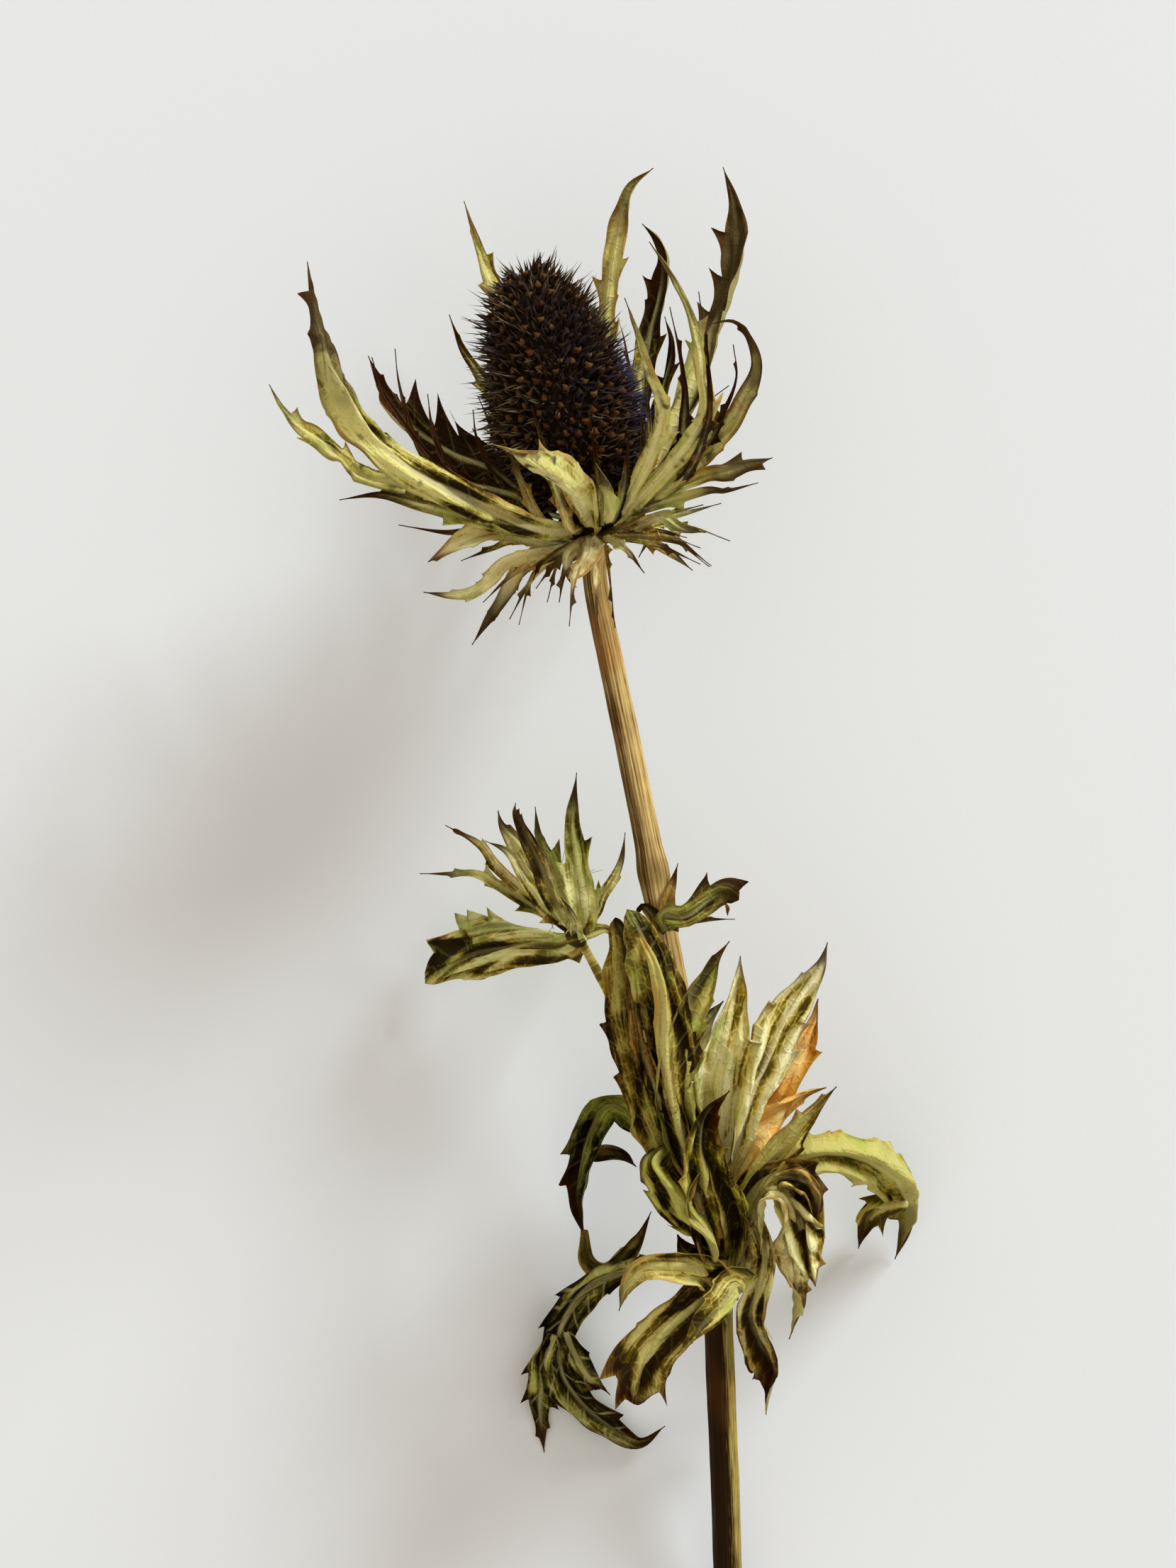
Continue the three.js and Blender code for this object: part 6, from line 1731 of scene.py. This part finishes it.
cone_steps = np.linspace(0, FLORET_LAST, 600)
middles = (cone_steps[1:] + cone_steps[:-1]) / 2
cone_area = np.concatenate([[0], np.cumsum(cone_radius(middles) + TOP_CROWDING)])
floret_share = np.interp((np.arange(FLORETS) + 0.5) / FLORETS, cone_area / cone_area[-1], cone_steps)
floret_share = FLORET_FIRST + floret_share * (1 - FLORET_FIRST / FLORET_LAST)
floret_turn = np.arange(FLORETS) * GOLDEN_ANGLE
floret_out = np.cos(floret_turn)[:, None] * side_x + np.sin(floret_turn)[:, None] * side_y
floret_spots = (HEAD_BASE + CONE_AXIS * (floret_share * CONE_LENGTH)[:, None]
                + floret_out * (cone_radius(floret_share) - FLORET_DEPTH)[:, None])
further_up = np.maximum(floret_share - LEAN_FROM, 0)[:, None]
floret_lean = floret_out + CONE_AXIS * (FLORET_LEAN[0] + FLORET_LEAN[1] * further_up)
floret_size = np.interp(floret_share, *FLORET_SIZES)
apart = math.sqrt(2 * math.pi * CONE_RADIUS * CONE_LENGTH / FLORETS)
print(FLORETS, "florets, about", round(apart, 2), "mm apart")

# %% Geometry Nodes: florets on the cone
def floret_tree(skin):
    tree = bpy.data.node_groups.new("Cone florets", "GeometryNodeTree")
    new_socket(tree, "Spots", "NodeSocketGeometry")
    new_socket(tree, "Floret", "NodeSocketObject")
    for name, value in (("Smallest", 0.85), ("Largest", 1.15), ("Tilt", 0.22)):
        new_socket(tree, name, "NodeSocketFloat", value)
    new_socket(tree, "Seed", "NodeSocketInt", 7)
    new_socket(tree, "Cone", "NodeSocketGeometry", output=True)
    given = group_inputs(tree)

    def chance(low, high, shift):
        """A random number for each floret, from a seed of its own."""
        node = add(tree, "FunctionNodeRandomValue", data_type="FLOAT")
        for name, value in (("Min", low), ("Max", high), ("Seed", given["Seed"] + float(shift))):
            fill(tree, next(s for s in node.inputs if s.name == name and s.enabled), value)
        return Field(tree, next(s for s in node.outputs if s.enabled))

    picked = {"Object": given["Floret"], "As Instance": True}
    floret = read(tree, "GeometryNodeObjectInfo", "Geometry", picked)
    outward = {"Vector": stored(tree, "outward", "FLOAT_VECTOR")}
    out = read(tree, "FunctionNodeAlignRotationToVector", 0, outward, axis="Z")
    tilts = {0: chance(-1.0, 1.0, 1) * given["Tilt"], 1: chance(-1.0, 1.0, 2) * given["Tilt"],
             2: chance(-0.9, 0.9, 3)}
    turn = {"Rotation": out, "Rotate By": read(tree, "ShaderNodeCombineXYZ", 0, tilts)}
    turned = read(tree, "FunctionNodeRotateRotation", 0, turn, rotation_space="LOCAL")
    scale = stored(tree, "size") * chance(given["Smallest"], given["Largest"], 4)
    placed = {"Points": given["Spots"], "Instance": floret, "Rotation": turned, "Scale": scale}
    cone = read(tree, "GeometryNodeInstanceOnPoints", 0, placed)
    cone = store(tree, cone, "luck", chance(0.0, 1.0, 5), domain="INSTANCE")
    cone = read(tree, "GeometryNodeRealizeInstances", "Geometry", {"Geometry": cone})
    finished = {"Geometry": cone, "Material": skin}
    add(tree, "NodeGroupOutput", {"Cone": read(tree, "GeometryNodeSetMaterial", "Geometry", finished)})
    return tree


print("floret rule ready")

# %% [markdown]
# The florets are almost black brown, with hearts in several tans and spines that end grey brown.
# Some spines are still violet, above all on a few late florets at the cone's lower right.

# %% Floret finish
LATE_FLORETS = np.array([5.5, 72.5, 34])
LATE_REACH = (8.5, 4)  # mm from there at which violet begins, and at which it is full


def floret_skin():
    shine = {"Roughness": 0.7, "Specular IOR Level": 0.15}
    material, tree, shader = bare_material("dry_florets", shine)
    place = object_place(tree)
    tint = mark(tree, "tint")
    luck = mark(tree, "luck")
    grain = noise(tree, place, 1400.0, 3.0, 0.6)
    area = noise(tree, place, 120.0, 2.0)
    dark = blend(tree, grain.ramp(0.35, 0.7), linear("1b1006"), linear("3a2610"))
    tan = blend(tree, luck.ramp(0.1, 0.9), linear("2c1e10"), linear("6e4f26"))
    tan = blend(tree, area.ramp(0.42, 0.6), tan, linear("6a3d16"))
    colour = blend(tree, tint.ramp(0.3, 0.95), dark, tan)
    tip = blend(tree, luck.ramp(0.35, 0.8), linear("3d2c1c"), linear("8f7d5c"))
    tip = blend(tree, area.ramp(0.5, 0.38), tip, linear("454058"))
    away = distance(tree, place, tuple(LATE_FLORETS * MM))
    late = away.ramp(LATE_REACH[0] * MM, LATE_REACH[1] * MM)
    tip = blend(tree, late * 0.8, tip, linear("3f4272"))
    colour = blend(tree, tint.ramp(-0.1, -0.75), colour, tip)
    fill(tree, shader.inputs["Base Color"], colour)
    return material


dark_skin = floret_skin()
floret = bpy.data.objects.new("floret", one_floret)
carried = (("outward", "FLOAT_VECTOR", floret_lean), ("size", "FLOAT", floret_size))
cone = grown("dark_cone", floret_spots * MM, [], floret_tree(dark_skin), {"Floret": floret}, carried)
bpy.data.objects.remove(floret)
dress(cone, "flower_cone")

# %% [markdown]
# Between the florets one would look right through the cone, so a dark core fills it, a little
# smaller than the surface on which the florets sit.

# %% Core of the cone
CORE_RINGS = 60
CORE_SIDES = 48
CORE_DEPTH = 0.5
CORE_END = 0.997


def cone_core():
    shares = np.sin(np.linspace(0, np.pi / 2, CORE_RINGS)) * CORE_END
    radii = np.maximum(cone_radius(shares) - CORE_DEPTH, 0.2)
    points = []
    for share, radius in zip(shares, radii):
        level = HEAD_BASE + CONE_AXIS * (CONE_FOOT + share * (CONE_LENGTH - CONE_FOOT))
        for k in range(CORE_SIDES):
            angle = 2 * math.pi * k / CORE_SIDES
            out = math.cos(angle) * side_x + math.sin(angle) * side_y
            points.append(tuple((level + out * radius) * MM))
    faces = []
    for first in range(0, (CORE_RINGS - 1) * CORE_SIDES, CORE_SIDES):
        for k in range(CORE_SIDES):
            a, b = first + k, first + (k + 1) % CORE_SIDES
            faces.append((a, b, b + CORE_SIDES, a + CORE_SIDES))
    faces.append(tuple(range(CORE_SIDES))[::-1])
    faces.append(tuple(range((CORE_RINGS - 1) * CORE_SIDES, CORE_RINGS * CORE_SIDES)))
    mesh = bpy.data.meshes.new("cone_core")
    mesh.from_pydata(points, [], faces)
    mesh.materials.append(dark_skin)
    return mesh


dress(put("cone_core", cone_core()), "flower_cone")

# %% [markdown]
# ## Size
# The box of the imported model and that of the dressed flower are both printed, in millimetres.

# %% Sizes of both boxes
new_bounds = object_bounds()


def plain(box):
    return [list(map(float, corner)) for corner in box]


for label, box in (("packed", cad_bounds), ("dressed", new_bounds)):
    print(label, "in mm", [[round(c / MM, 2) for c in corner] for corner in plain(box)])
